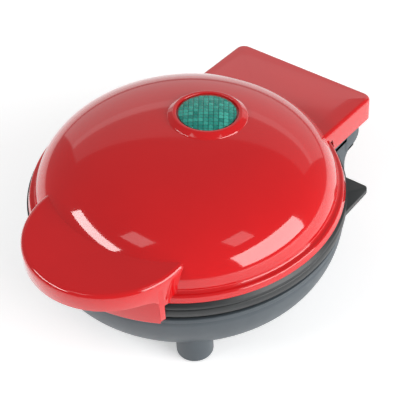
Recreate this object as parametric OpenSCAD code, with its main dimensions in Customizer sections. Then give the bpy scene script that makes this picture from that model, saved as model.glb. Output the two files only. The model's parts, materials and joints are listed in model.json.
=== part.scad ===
// A round countertop cooker for two fish-shaped cakes, with a hinged lid.
// Millimetres, +Z up. The origin is on the table, in the middle of the outline.
// The handle points to -Y, the hinge to +Y, and the dome's own axis is at axis_y.

/* [Overall] */
// Outer radius of the lid's rim
rim_r = 63.5; // [60:0.5:68]
// Wall of the plastic mouldings
wall = 2.2; // [1.8:0.1:2.6]

/* [Dome] */
// Width of the rolled rim outside the dome
rim_w = 3; // [2.8:0.1:4]
// How much the rim narrows from its bottom edge to its bead
rim_draft = 0.6; // [0:0.1:0.8]
// Height of the dome above the lid's bottom edge
dome_h = 27.1; // [26.5:0.1:29]
// Fullness of the dome: 2 is an ellipse, more is squarer
dome_power = 2.42; // [2.2:0.01:2.6]
// Height of the rolled rim
flange_h = 2.8; // [2.6:0.1:3.6]

/* [Handle] */
// Radius of the handle's outline
handle_r = 33.6; // [32:0.1:35]
// How far the handle stands out past the lid's rim
handle_reach = 17.4; // [15.5:0.1:19.5]
// Height of the handle's flat top above the lid's bottom edge
handle_top = 13.7; // [12:0.1:14.5]
// Height of the finger cut above the lid's bottom edge
finger_h = 5.8; // [4.5:0.1:6.5]
// Depth of the handle's side walls below the lid's bottom edge
skirt_depth = 6.8; // [6:0.1:8]
// Rounding of the handle's top edge
handle_round = 2; // [1:0.1:2.5]

/* [Hinge cover] */
// Half the width of the flat cover over the hinge
cover_x = 34; // [32:0.1:36]
// How far the cover stands out past the lid's rim
cover_reach = 23.7; // [22.5:0.1:26]
// Height of the cover's top where it leaves the dome
cover_top = 5.7; // [5:0.1:6.4]
// Thickness of the cover, from its top to its open underside
cover_h = 11.3; // [10.5:0.1:12.5]
// Slope of the cover down to the rear, in degrees
cover_tilt = 5; // [3.5:0.5:6.5]
// Radius of the cover's upright rear corners
cover_corner = 4; // [2:0.5:6]
// Rounding of the cover's top edges
cover_round = 1.8; // [0.8:0.1:2]

/* [Lens] */
// Distance of the lens from the dome's axis, towards the hinge
lens_y = 16.1; // [14:0.1:17]
// Radius of the green lens
lens_r = 11.8; // [10:0.1:13]
// Lean of the lens to the rear, with the dome's surface, in degrees
lens_tilt = 4; // [0:0.5:6]
// Width of the raised collar round the lens
collar_w = 4.2; // [3:0.1:5]
// Height of the collar above the dome
collar_h = 1.3; // [0.8:0.1:2]
// Height of the lens's crown above its rim
lens_crown = 2.4; // [1:0.1:4]

/* [Rings] */
// How far the two black rings stand out past the lid's rim
ring_out = 0.7; // [0.5:0.1:1.5]
// Width of the rings' faces outside the plates
land_w = 7.2; // [6.8:0.1:7.6]
// Width of the ledge that a plate's flange is screwed to
ledge_w = 7; // [6.5:0.1:7.4]
// Height from the lid's bottom edge down to the faces where the plates meet
mating_depth = 3.2; // [3:0.1:4]
// Height of the lower ring's visible band
band_h = 3.45; // [3:0.05:3.9]
// Distance of the square shoulders' sides inside the rings' outer radius
shoulder_in = 5.7; // [5:0.1:7]
// Distance of the shoulders' rear edge from the dome's axis
shoulder_y = 43.7; // [42:0.1:45]
// Radius of the shoulders' corners
shoulder_corner = 2; // [1:0.5:5]
// Drop from the ring's top face to the shoulders' top
shoulder_sink = 0.65; // [0.4:0.05:1]
// Rise from the ring's bottom edge to the shoulders' underside
shoulder_rise = 0.6; // [0:0.1:1]

/* [Cooking plates] */
// Thickness of a plate's flange
plate_t = 2.5; // [2.3:0.1:2.8]
// Depth of a plate's thick middle, from its cooking face
pad_h = 13.5; // [13:0.1:14]
// Gap between the middle's ends and the ring's ledge
pad_gap = 2.5; // [2:0.1:4]
// Radius of the middle's round ends
pad_r = 28.5; // [28:0.5:29]
// Depth of the fish-shaped hollow
mould_depth = 8; // [6:0.1:8.4]
// Distance of the fish's nose and tail inside the plate's thick middle
fish_margin = 10; // [8:0.5:14]

/* [Heating] */
// Radius of the sheathed element's tube
tube_r = 3.2; // [2.8:0.1:3.3]
// Bend radius of the element's round ends
element_r = 18; // [17:0.5:19]
// Thickness of the pan's sheet
sheet_t = 0.6; // [0.5:0.1:0.8]

/* [Base] */
// Distance of the bowl's rim inside the lid's rim
base_in = 0.2; // [0:0.1:0.4]
// Depth of the bowl
bowl_h = 27; // [26.6:0.1:28]
// Radius of the bowl's flat bottom
bottom_r = 43.3; // [42:0.1:44.5]
// Drop from the lid's bottom edge to the bowl's rim
rim_gap = 9.4; // [9:0.1:10]

/* [Feet] */
// Radius of a foot
foot_r = 7.3; // [6.5:0.1:8]
// Height of the bowl's bottom above the table
ground_gap = 3.7; // [2:0.1:6]
// Distance of the front feet's centres inside the bowl's rim
foot_in = 12.5; // [11.8:0.1:13]
// Turn of the front feet from the middle line, in degrees
foot_turn = 38.5; // [36:0.5:41]
// Half the distance between the rear feet, under the neck
rear_foot_x = 22; // [18:0.5:23]
// Distance of the rear feet in front of the neck's rear face
rear_foot_in = 8.7; // [8.2:0.1:11]
// Radius of a rubber pad
pad_disc_r = 5.2; // [4.5:0.1:5.5]

/* [Hinge] */
// Distance of the hinge's axis past the lid's rim
hinge_reach = 12.1; // [11.6:0.1:12.8]
// Drop from the lid's bottom edge to the hinge's axis
hinge_drop = 12.6; // [12.4:0.1:13.2]
// Radius of the neck's knuckles
knuckle_r = 4.8; // [4.5:0.1:5]
// How far the knuckles overhang the neck's rear face, from the hinge's axis
neck_in = 6; // [5.5:0.1:6.4]
// Radius of the hinge pins
pin_r = 1.8; // [1.5:0.05:2.2]
// Distance of the lid's hinge ears inside the neck's sides
ear_in = 8.4; // [7.5:0.1:10]
// Thickness of a hinge ear
ear_t = 4; // [3:0.1:4.4]
// How far the lid opens, in degrees
open_angle = 100; // [90:1:105]

/* [Electrical] */
// Bore of the cord's gland
cord_r = 2.7; // [2.4:0.1:2.8]
// Height of the gland above the neck's underside
gland_rise = 6.3; // [6:0.1:6.7]
// Radius of an insulated wire
lead_r = 1; // [0.8:0.1:1.1]

/* [Hidden] */
$fn = 64;

// Clearances
run_gap = 0.05;
fit_gap = 0.3;
lip_gap = 0.8;
mate_gap = 0.15;
eps = 0.01;

// Radii and distances from the dome's axis
dome_r = rim_r - rim_w;
ring_r = rim_r + ring_out;
base_r = rim_r - base_in;
handle_front = rim_r + handle_reach;
handle_y = handle_front - handle_r;
cover_y = rim_r + cover_reach;
hinge_y = rim_r + hinge_reach;
neck_y = hinge_y - neck_in;
shoulder_x = ring_r - shoulder_in;

// The dome's axis lies so that the whole outline is centred on the origin.
axis_y = (handle_front - cover_y) / 2;

// Longer than anything that a cut or a boundary has to pass
beyond = 2 * rim_r;

// Heights measured from the lid's bottom edge, up is positive.
base_top = -rim_gap;
base_bottom = base_top - bowl_h;
floor_z = base_bottom - ground_gap;
hinge_z = -hinge_drop;
gland_z = base_bottom + gland_rise;

// Rings and plates
land_r = ring_r - land_w;
ledge_r = land_r - ledge_w;
ledge_t = 2.2;
plate_r = land_r - fit_gap;
pad_x = ledge_r - pad_gap - pad_r;
band_bottom = -mating_depth - mate_gap - band_h;

// Screws: shank radius, head radius, head height
small_screw = [1.25, 2.4, 1.7];
long_screw = [1.5, 2.9, 2];
lid_screw_r = (land_r + ring_r) / 2;
lid_screw_angle = 19;
plate_screw_r = land_r - 3.6;
plate_screw_turn = 22;
pan_screw_x = 11.9;
pan_screw_y = -8;
pillar_r = 3.9;
pillar_gap = 0.1;
boss_floor = 14;
web_t = 2.5;

// Every piece is drawn about the dome's axis, with z = 0 at the lid's bottom edge.
module placed() translate([0, axis_y, -floor_z]) children();

// Points of a quarter arc about [cx, cy], from angle a to angle b
function arc(cx, cy, r, a, b, n = 6) =
    [for (i = [0:n]) let (t = a + (b - a) * i / n) [cx + r * cos(t), cy + r * sin(t)]];

// Quarter of a superellipse, from the foot [a, 0] to the crown [0, b]
function crown(a, b, p, n = 18) =
    [for (i = [0:n]) let (t = 90 * i / n) [a * pow(cos(t), 2 / p), b * pow(sin(t), 2 / p)]];

// Height of the dome's outer surface at a distance from its axis
function dome_z(r) = dome_h * pow(1 - pow(r / dome_r, dome_power), 1 / dome_power);

// Slot outline with two round ends on the X axis
module stadium(x, r) {
    translate([-x, 0]) circle(r);
    translate([x, 0]) circle(r);
    translate([-x, -r]) square([2 * x, 2 * r]);
}

// Upright prism of a slot outline, between two heights
module stadium_block(x, r, low, high)
    translate([0, 0, low]) linear_extrude(high - low) stadium(x, r);

// Cylinder along X from one place to another
module rod_x(r, from, to, y, z)
    translate([from, y, z]) rotate([0, 90, 0]) cylinder(r = r, h = to - from);

// Screw with a pan head below its shank, tip upwards
module screw(size, length) {
    translate([0, 0, -size[2] / 2]) cylinder(r = size[0], h = length + size[2] / 2);
    translate([0, 0, -size[2]]) cylinder(r = size[1], h = size[2]);
}

// Places of the fastenings and feet, with the dome's axis at the middle
module plate_screw_places() for (a = [0:90:270])
    rotate(plate_screw_turn + a) translate([plate_screw_r, 0, 0]) children();

module pan_screw_places() for (side = [-1, 1])
    translate([side * pan_screw_x, pan_screw_y, 0]) children();

module front_foot_places() for (side = [-1, 1])
    rotate(side * foot_turn) translate([0, foot_in - base_r, floor_z]) children();

module rear_foot_places() for (side = [-1, 1])
    translate([side * rear_foot_x, neck_y - rear_foot_in, floor_z]) children();

module base_screw_places() {
    front_foot_places() children();
    for (side = [-1, 1]) rotate(side * (90 + foot_turn))
        translate([0, foot_in - base_r, floor_z]) children();
}

module foot_places() {
    front_foot_places() children();
    rear_foot_places() children();
}

module lid_screw_places()
    for (a = [-1, 1], side = [-90, 90])
        rotate(side + a * lid_screw_angle) translate([lid_screw_r, 0, 0]) children();

// Lid

lip_r = ring_r + lip_gap;
lip_t = 1.8;
lip_drop = 8;
lip_rise = 3.4;
fillet_r = 1.3;
bead_r = 1;

module dome_solid()
    rotate_extrude($fn = 120) polygon(concat(
        [[0, 0], [rim_r, 0], [rim_r, 0.4]],
        arc(rim_r - rim_draft - bead_r, flange_h - bead_r, bead_r, 0, 90),
        arc(dome_r + fillet_r - 0.3, flange_h + fillet_r, fillet_r, 270, 190, 4),
        [for (p = crown(dome_r, dome_h, dome_power)) if (p[1] > flange_h + fillet_r) p]));

module dome_hollow()
    translate([0, 0, -eps]) rotate_extrude($fn = 120)
        polygon(concat([[0, 0]], crown(dome_r - wall, dome_h - wall, dome_power, 14)));

module ring_room()
    translate([0, 0, -2 * cover_h]) cylinder(r = lip_r, h = 2 * cover_h);

module handle_disc(r, low, high, round)
    rotate_extrude($fn = 96) polygon(concat(
        [[0, low], [r, low]], arc(r - round, high - round, round, 0, 90), [[0, high]]));

module finger_cut() {
    arch = 3;
    finger_x = handle_r - wall;
    rotate([90, 0, 0]) linear_extrude(handle_front + 1)
        polygon(concat([[-finger_x, -2 * skirt_depth], [finger_x, -2 * skirt_depth]],
                       arc(finger_x - arch, finger_h - arch, arch, 0, 90),
                       arc(arch - finger_x, finger_h - arch, arch, 90, 180)));
}

module handle() difference() {
    translate([0, -handle_y, 0]) handle_disc(handle_r, -skirt_depth, handle_top, handle_round);
    translate([0, -handle_y, 0]) handle_disc(handle_r - wall, -skirt_depth - 1,
                                             handle_top - wall, handle_round / 2);
    finger_cut();
    dome_hollow();
    ring_room();
}

// Lip that hangs in front of the plates, behind the finger cut
module lip() intersection() {
    rotate_extrude($fn = 120) polygon([
        [lip_r, -lip_drop], [lip_r + lip_t, 0.2 - lip_drop], [lip_r + lip_t, lip_rise],
        [rim_r - 1, lip_rise], [rim_r - 1, 0], [lip_r, 0]]);
    lip_x = handle_r - wall + 0.2;
    translate([-lip_x, -beyond, base_top]) cube([2 * lip_x, 0.75 * beyond, rim_gap + lip_rise]);
}

// The cover starts inside the dome's hollow, where its corners don't show.
cover_root = sqrt(pow(dome_r - wall - 5.5, 2) - pow(cover_x, 2));
cover_wall = wall - 0.2;
// Length of the cover's slope, from the place where its top has the height cover_top
cover_run = cover_reach + 8;

// Sloping slab with rounded top edges, cut to a plan with rounded rear corners
module cover_slab(inset, low, round) intersection() {
    w = cover_x - inset;
    translate([0, cover_y - cover_run, cover_top]) rotate([90 - cover_tilt, 0, 0])
        translate([0, 0, -beyond]) linear_extrude(1.4 * beyond) polygon(concat(
            [[-w, -low], [w, -low]], arc(w - round, -inset - round, round, 0, 90),
            arc(round - w, -inset - round, round, 90, 180)));
    corner = cover_corner - inset / 2;
    rear = cover_y - inset;
    translate([0, 0, -beyond]) linear_extrude(2 * beyond) union() {
        translate([-w, cover_root]) square([2 * w, rear - corner - cover_root]);
        translate([corner - w, rear - corner]) circle(corner);
        translate([w - corner, rear - corner]) circle(corner);
        translate([corner - w, cover_root]) square([2 * (w - corner), rear - cover_root]);
    }
}

neck_x = cover_x - cover_wall - fit_gap;
ear_x = neck_x - ear_in;
ear_r = knuckle_r - 0.3;

// Ear that hangs from the cover's roof round the hinge pin
module ear(x) difference() {
    union() {
        rod_x(ear_r, x - ear_t / 2, x + ear_t / 2, hinge_y, hinge_z);
        intersection() {
            translate([x - ear_t / 2, hinge_y - ear_r, hinge_z])
                cube([ear_t, 2 * ear_r, hinge_drop + cover_top]);
            cover_slab(wall / 2, 2 * cover_h, wall / 2);
        }
    }
    rod_x(pin_r + run_gap, x - ear_t, x + ear_t, hinge_y, hinge_z);
}

module cover() difference() {
    cover_slab(0, cover_h, cover_round);
    cover_slab(cover_wall, cover_h + 8, cover_round / 2);
    dome_hollow();
    ring_room();
}

module on_lens() translate([0, lens_y, dome_z(lens_y)]) rotate([-lens_tilt, 0, 0]) children();

lens_seat = lens_r + fit_gap;
lens_hole = lens_r - 1.3;
barrel_r = lens_hole - 0.2;
collar_depth = 3.5;

module lens_collar() on_lens() rotate_extrude($fn = 72) polygon(concat(
    [[lens_hole, -collar_depth], [lens_seat + 2, -collar_depth], [lens_seat + collar_w, -1.4]],
    arc(lens_seat + 1, collar_h - 0.6, 0.6, 60, 180, 4),
    [[lens_seat + 0.4, 0], [lens_hole, 0]]));

module lens_opening() on_lens() {
    translate([0, 0, -8]) cylinder(r = lens_hole, h = 16);
    cylinder(r = lens_seat, h = 8);
}

boss_r = 2.9;
module lid_bosses() intersection() {
    lid_screw_places() cylinder(r = boss_r, h = 7.5);
    union() {
        dome_solid();
        translate([0, -handle_y, 0]) cylinder(r = handle_r - 1, h = handle_top - 1);
        cover_slab(1, cover_h, 1);
    }
}

// Passage for the lid's leads, between the ring and the dome's rim
sleeve_r = 1.3 * lead_r;
lead_x = 1.5;
lead_room = 0.15;
notch_x = lead_x + sleeve_r + 0.4;
module lead_notch() translate([-notch_x, ledge_r - 3, plate_t - mating_depth])
    cube([2 * notch_x, ring_r + 8 - ledge_r, flange_h + lead_r]);

lid_pilot = 2.2;
module lid_shell() color("crimson") placed() {
    difference() {
        union() {
            difference() {
                dome_solid();
                dome_hollow();
                lens_opening();
            }
            lens_collar();
            handle();
            lip();
            cover();
            lid_bosses();
        }
        lid_screw_places() translate([0, 0, -1])
            cylinder(r = small_screw[0] + 0.02, h = 1 + lid_pilot);
        lead_notch();
    }
    for (side = [-1, 1]) ear(side * ear_x);
}

module indicator_lens() color("teal") placed() on_lens()
    rotate_extrude($fn = 72) polygon(concat(
        [[0, lens_crown - 1.6]],
        [for (i = [0:8]) let (t = i / 8) [barrel_r * t * 0.9, (lens_crown - 1.6) * (1 - t * t)]],
        [[barrel_r - 1.2, -collar_depth - 1.4], [barrel_r, -collar_depth - 1.4], [barrel_r, 0.05],
         [lens_r, 0.05], [lens_r, 0.7]],
        [for (i = [8:-1:1]) let (t = i / 8) [lens_r * t, 0.9 + (lens_crown - 0.9) * (1 - t * t)]],
        [[0, lens_crown]]));

retainer_t = 1;
holder_r = lens_r + 1.6;
module lens_retainer() color("dimgray") placed() on_lens()
    translate([0, 0, -collar_depth - retainer_t]) difference() {
        cylinder(r = holder_r, h = retainer_t);
        translate([0, 0, -1]) cylinder(r = barrel_r + run_gap, h = retainer_t + 2);
    }

holder_top = -collar_depth - retainer_t;
holder_h = 4.5;
holder_floor = 1.2;
lamp_x = 4;
lamp_r = 2.2;
module lamp_holder() color("ivory") placed() on_lens()
    translate([0, 0, holder_top - holder_h]) difference() {
        cylinder(r = holder_r, h = holder_h);
        translate([0, 0, holder_floor]) cylinder(r = holder_r - 0.8, h = holder_h);
        for (x = [-lamp_x, lamp_x]) translate([x, 0, -1])
            cylinder(r = 0.8, h = 2 + holder_floor, $fn = 24);
    }

module indicator_lamps() color("orange") placed() on_lens()
    for (x = [-lamp_x, lamp_x]) translate([x, 0, holder_top - holder_h + holder_floor]) {
        cylinder(r = lamp_r, h = 1.5 * lamp_r, $fn = 32);
        translate([0, 0, 1.5 * lamp_r]) sphere(r = lamp_r, $fn = 32);
    }

// Rings

// Corners that square the lower ring's outline off at the rear
module shoulders(low, high) translate([0, 0, low]) linear_extrude(high - low) difference() {
    union() {
        translate([-shoulder_x, 0]) square([2 * shoulder_x, shoulder_y - shoulder_corner]);
        translate([shoulder_corner - shoulder_x, 0])
            square([2 * (shoulder_x - shoulder_corner), shoulder_y]);
        for (side = [-1, 1])
            translate([side * (shoulder_x - shoulder_corner), shoulder_y - shoulder_corner])
                circle(shoulder_corner);
    }
    circle(r = rim_r - 3);
}

module upper_ring() color("#333333") placed() difference() {
    rotate_extrude($fn = 120) polygon([
        [ledge_r, plate_t - mating_depth], [land_r, plate_t - mating_depth],
        [land_r, mate_gap - mating_depth], [ring_r - 0.3, mate_gap - mating_depth],
        [ring_r, mate_gap - mating_depth + 0.3], [ring_r, -0.9], [ring_r - 1.6, -0.7],
        [ring_r - 1.6, 0], [dome_r - wall - fit_gap, 0],
        [dome_r - wall - fit_gap, plate_t - mating_depth + ledge_t],
        [ledge_r, plate_t - mating_depth + ledge_t]]);
    lid_screw_places() translate([0, 0, -mating_depth - 1])
        cylinder(r = small_screw[0] + 0.25, h = mating_depth + 3);
    lid_screw_places() translate([0, 0, -mating_depth - 1])
        cylinder(r = small_screw[1] + 0.15, h = 1 + small_screw[2] + fit_gap);
    lid_screw_places() cylinder(r = boss_r + 0.15, h = plate_t);
    plate_screw_places() translate([0, 0, plate_t - mating_depth - 1])
        cylinder(r = small_screw[0] + 0.25, h = ledge_t + 2);
    lead_notch();
}

lid_screw_seat = small_screw[2] + fit_gap - mating_depth;
module lid_screws() color("silver") placed() lid_screw_places()
    translate([0, 0, lid_screw_seat]) screw(small_screw, lid_pilot - lid_screw_seat - 0.2);

long_pilot = 13;
module lower_ring() color("#333333") placed() difference() {
    face = -mating_depth - mate_gap;
    back = -mating_depth - plate_t;
    union() {
        rotate_extrude($fn = 120) polygon([
            [ledge_r, back], [land_r, back], [land_r, face], [ring_r - 0.3, face],
            [ring_r, face - 0.3], [ring_r, band_bottom + 0.3], [ring_r - 0.3, band_bottom],
            [base_r - 1.2, band_bottom], [base_r - 1.2, base_top],
            [base_r - wall - fit_gap, base_top], [base_r - wall - fit_gap, base_top - 2],
            [base_r - wall - 2, base_top - 2], [base_r - wall - 2, back - ledge_t],
            [ledge_r, back - ledge_t]]);
        base_screw_places() translate([0, 0, boss_floor + web_t + pillar_gap])
            cylinder(r = pillar_r, h = back - floor_z - boss_floor - web_t - pillar_gap - eps);
        shoulders(band_bottom + shoulder_rise, face - shoulder_sink);
    }
    base_screw_places() cylinder(r = long_screw[0] + 0.02, h = boss_floor + long_pilot + 1);
    plate_screw_places() translate([0, 0, back - ledge_t - 1])
        cylinder(r = small_screw[0] + 0.25, h = ledge_t + 2);
}

// Cooking plates, drawn face up with the cooking face at z = 0 and turned over for the lid

// Outline of the fish, drawn 75 long: a body between two arcs, a forked tail and two fins
fish_len = 75;
fish_body = 58;
fish_w = 44;
fish_x = -8;
fish_fit = 2 * (pad_x + pad_r - fish_margin) / fish_len;
body_bulge = (fish_body * fish_body / 4 - fish_w * fish_w / 4) / fish_w;
module fish_outline() scale(fish_fit) {
    translate([fish_x, 0]) intersection() {
        translate([0, -body_bulge]) circle(r = body_bulge + fish_w / 2);
        translate([0, body_bulge]) circle(r = body_bulge + fish_w / 2);
        circle(r = fish_body / 2);
    }
    polygon([[10, -6], [22, -9], [38, -17], [35, -4], [35, 4], [38, 17], [22, 9], [10, 6]]);
    polygon([[-18, 16], [-12, 24.5], [6, 22], [8, 10]]);
    polygon([[-14, -16], [-10, -24], [0, -22], [4, -12]]);
}

module fish_hollow() {
    half = fish_fit * fish_body / 2;
    cap = (half * half + mould_depth * mould_depth) / (2 * mould_depth);
    translate([fish_fit * fish_x, 0, cap - mould_depth]) sphere(r = cap, $fn = 96);
}

module mould() {
    intersection() {
        translate([0, 0, -mould_depth]) linear_extrude(mould_depth + 1) fish_outline();
        fish_hollow();
    }
    translate([0, 0, -3.4]) linear_extrude(4.4) intersection() {
        fish_outline();
        translate([6 * fish_fit, -pad_r]) square(2 * pad_r);
    }
    translate([0, 0, -2.6]) linear_extrude(3.6) fish_outline();
}

module plate_body() difference() {
    union() {
        translate([0, 0, -plate_t]) cylinder(r = plate_r, h = plate_t, $fn = 120);
        stadium_block(pad_x, pad_r, -pad_h, -plate_t / 2);
        pan_screw_places() translate([0, 0, pan_floor])
            cylinder(r = pan_seat_r, h = -pan_floor - pad_h + eps);
    }
    mould();
    plate_screw_places() translate([0, 0, -plate_t - 1])
        cylinder(r = small_screw[0] + 0.02, h = 1 + plate_pilot);
    element_groove();
    pan_screw_places() translate([0, 0, pan_floor - 1])
        cylinder(r = small_screw[0] + 0.02, h = 1 + pan_pilot);
}

element_z = -pad_h - 0.6;
pan_seat_r = 3.2;
pan_pilot = 8;
plate_pilot = 1.9;

// Centre line of the element: a loop, open at the rear where its ends turn away
tail_x = 7;
module element_path(r, ends) {
    for (side = [0, 180]) rotate(side) translate([pad_x, 0, 0])
        rotate([0, 0, -90]) rotate_extrude(angle = 180) translate([element_r, 0]) circle(r);
    rod_x(r, -pad_x, pad_x, -element_r, 0);
    for (side = [-1, 1]) {
        rod_x(r, side < 0 ? -pad_x : tail_x, side < 0 ? -tail_x : pad_x, element_r, 0);
        translate([side * tail_x, element_r, 0]) sphere(r = r);
        translate([side * tail_x, element_r, 0]) rotate([-90, 0, 0]) cylinder(r = r, h = ends);
    }
}

module element_groove() translate([0, 0, element_z]) element_path(tube_r + 0.15, 20);

tail_len = 9;
module element_body() translate([0, 0, element_z]) element_path(tube_r, tail_len);

pin_len = 7;
module element_pin_pair() for (side = [-1, 1])
    translate([side * tail_x, element_r + tail_len, element_z]) rotate([-90, 0, 0]) {
        cylinder(r = tube_r - 0.6, h = 2.5);
        cylinder(r = 1.1, h = pin_len, $fn = 24);
    }

pan_floor = element_z - tube_r - fit_gap;
pan_rim = -plate_t - ledge_t - 1.4;

module pan_body() difference() {
    stadium_block(pad_x, pad_r + 1 + sheet_t, pan_floor - sheet_t, pan_rim);
    stadium_block(pad_x, pad_r + 1, pan_floor, pan_rim + 1);
    translate([-tail_x - tube_r - 1, element_r, pan_floor + 0.1])
        cube([2 * (tail_x + tube_r + 1), 30, 30]);
    pan_screw_places() translate([0, 0, pan_floor - 2])
        cylinder(r = small_screw[0] + 0.25, h = 4);
}

// Turns a face-up piece over, so that it lies behind the lid's cooking face
module in_lid() translate([0, 0, -mating_depth]) mirror([0, 0, 1]) children();
module in_base() translate([0, 0, -mating_depth]) children();

module plate_screw_set() plate_screw_places() translate([0, 0, -plate_t - ledge_t])
    screw(small_screw, ledge_t + plate_pilot - 0.2);

module pan_screw_set(packing) pan_screw_places()
    translate([0, 0, pan_floor - sheet_t - packing])
        screw(small_screw, packing + sheet_t + pan_pilot - 0.3);

module upper_plate() color("#2b2b2b") placed() in_lid() plate_body();
module upper_plate_screws() color("silver") placed() in_lid() plate_screw_set();
module upper_element() color("slategray") placed() in_lid() element_body();
module upper_element_pins() color("silver") placed() in_lid() element_pin_pair();
module upper_reflector() color("lightgray") placed() in_lid() pan_body();
module upper_pan_screws() color("silver") placed() in_lid() pan_screw_set(sheet_t);

module lower_plate() color("#2b2b2b") placed() in_base() plate_body();
module lower_plate_screws() color("silver") placed() in_base() plate_screw_set();
module lower_element() color("slategray") placed() in_base() element_body();
module lower_element_pins() color("silver") placed() in_base() element_pin_pair();
module lower_reflector() color("lightgray") placed() in_base() pan_body();
module lower_pan_screws() color("silver") placed() in_base() pan_screw_set(ear_sheet);

// Round thermostat, hung under the lower pan by the pan's own screws
ear_sheet = 0.8;
stat_r = 8.2;
stat_h = 6;
module thermostat() color("#222222") placed() in_base()
    translate([0, 0, pan_floor - sheet_t]) difference() {
        translate([0, pan_screw_y, 0]) {
            translate([0, 0, -stat_h]) cylinder(r = stat_r, h = stat_h);
            translate([0, 0, -ear_sheet]) linear_extrude(ear_sheet) stadium(pan_screw_x, 3.6);
            for (side = [-1, 1]) translate([side * 3.5 - 1.5, -0.4, -stat_h - 4.5])
                cube([3, 0.8, 5]);
        }
        pan_screw_places() translate([0, 0, -3]) cylinder(r = small_screw[0] + 0.25, h = 4);
    }

// Thermal fuse on the upper pan, under a strap that the pan's screws hold
fuse_r = 2;
fuse_len = 11;
strap_w = 6.8;
module fuse_line(r, length)
    translate([0, pan_screw_y - length / 2, pan_floor - sheet_t - fuse_r])
        rotate([-90, 0, 0]) cylinder(r = r, h = length, $fn = 32);

module thermal_fuse() color("silver") placed() in_lid() {
    fuse_line(fuse_r, fuse_len);
    fuse_line(0.3 * fuse_r, 1.6 * fuse_len);
}

module fuse_strap() color("lightgray") placed() in_lid() difference() {
    union() {
        translate([0, pan_screw_y, pan_floor - 2 * sheet_t]) linear_extrude(sheet_t)
            difference() {
                stadium(pan_screw_x, strap_w / 2);
                translate([-fuse_r, -strap_w]) square([2 * fuse_r, 2 * strap_w]);
            }
        fuse_line(fuse_r + run_gap + sheet_t, strap_w);
    }
    fuse_line(fuse_r + run_gap, 2 * strap_w);
    translate([-pan_screw_x, pan_screw_y - strap_w, pan_floor - sheet_t])
        cube([2 * pan_screw_x, 2 * strap_w, 2 * fuse_r]);
    pan_screw_places() translate([0, 0, pan_floor - 4])
        cylinder(r = small_screw[0] + 0.25, h = 8);
}

// Base

// Points down the bowl's side, from its rim to its flat bottom
function bowl_side(rim, bottom, drop, n = 16) =
    [for (i = [0:n]) let (t = 90 * i / n)
        [bottom + (rim - bottom) * cos(t), base_top - drop * sin(t)]];

bead = 0.5;
module bowl_solid() rotate_extrude($fn = 120) polygon(concat(
    [[0, base_top], [base_r - bead, base_top], [base_r, base_top - bead],
     [base_r, base_top - 3 * bead], [base_r - bead, base_top - 4 * bead]],
    [for (p = bowl_side(base_r, bottom_r, bowl_h)) if (p[1] < base_top - 5 * bead) p],
    [[0, base_bottom]]));

module bowl_hollow() translate([0, 0, eps]) rotate_extrude($fn = 120)
    polygon(concat([[0, base_top]],
                   bowl_side(base_r - wall, bottom_r - wall / 2, bowl_h - wall, 12),
                   [[0, base_bottom + wall]]));

// Neck seen from the side: a round knuckle at the top rear, and a straight back below it
neck_top = hinge_z + knuckle_r;
module neck_solid() difference() {
    rotate([90, 0, 90]) translate([0, 0, -neck_x]) linear_extrude(2 * neck_x)
        polygon(concat(
            [[bottom_r, base_bottom], [bottom_r, neck_top]],
            arc(hinge_y, hinge_z, knuckle_r, 90, -90, 14),
            arc(hinge_y, hinge_z - knuckle_r - neck_in, neck_in, 90, 180, 8),
            [[neck_y, base_bottom + 2], [neck_y - 2, base_bottom]]));
    bowl_hollow();
    translate([0, 0, base_top]) cylinder(r = base_r, h = rim_gap);
}

module neck_hollow() {
    low = base_bottom + wall;
    translate([wall - neck_x, bottom_r, low])
        cube([2 * (neck_x - wall), neck_y - wall - bottom_r, neck_top - wall - low]);
}

slot_t = ear_t + 2 * fit_gap;
module ear_slots() for (side = [-1, 1])
    translate([side * ear_x - slot_t / 2, hinge_y - knuckle_r - fit_gap,
               hinge_z - knuckle_r - 0.4])
        cube([slot_t, 2 * knuckle_r + 4, 2 * knuckle_r + 2]);

// Shelf on the neck that the cover's rear edge meets when the lid is fully open
cover_fall = tan(cover_tilt) * cover_run + cover_h / cos(cover_tilt);
edge_rise = cover_top - cover_fall - hinge_z;
stop_reach = (cover_y - hinge_y) * cos(open_angle) + edge_rise * sin(open_angle) - 2 * run_gap;
stop_drop = (cover_y - hinge_y) * sin(open_angle) - edge_rise * cos(open_angle);
stop_x = 12;
module lid_stop() translate([-stop_x, neck_y - 1, hinge_z - stop_drop])
    cube([2 * stop_x, hinge_y + stop_reach - neck_y + 1, 1.8]);

pin_from = ear_x - 6.5;
pin_to = neck_x - 1.6;
lead_gap = 4;
tube_wall_r = 5.5;
stub_lift = 0.4;
pad_recess = 1.4;
gland_r = 3.6;

module foot_stubs() {
    front_foot_places() translate([0, 0, stub_lift])
        cylinder(r = foot_r, h = boss_floor + web_t + 3.5);
    rear_foot_places() translate([0, 0, stub_lift]) cylinder(r = foot_r, h = ground_gap);
}

// Tubes that take the long screws up to the lower ring, flush with the bowl outside
module screw_tubes() intersection() {
    base_screw_places() cylinder(r = tube_wall_r, h = boss_floor + web_t);
    union() {
        bowl_solid();
        foot_stubs();
    }
}

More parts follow.
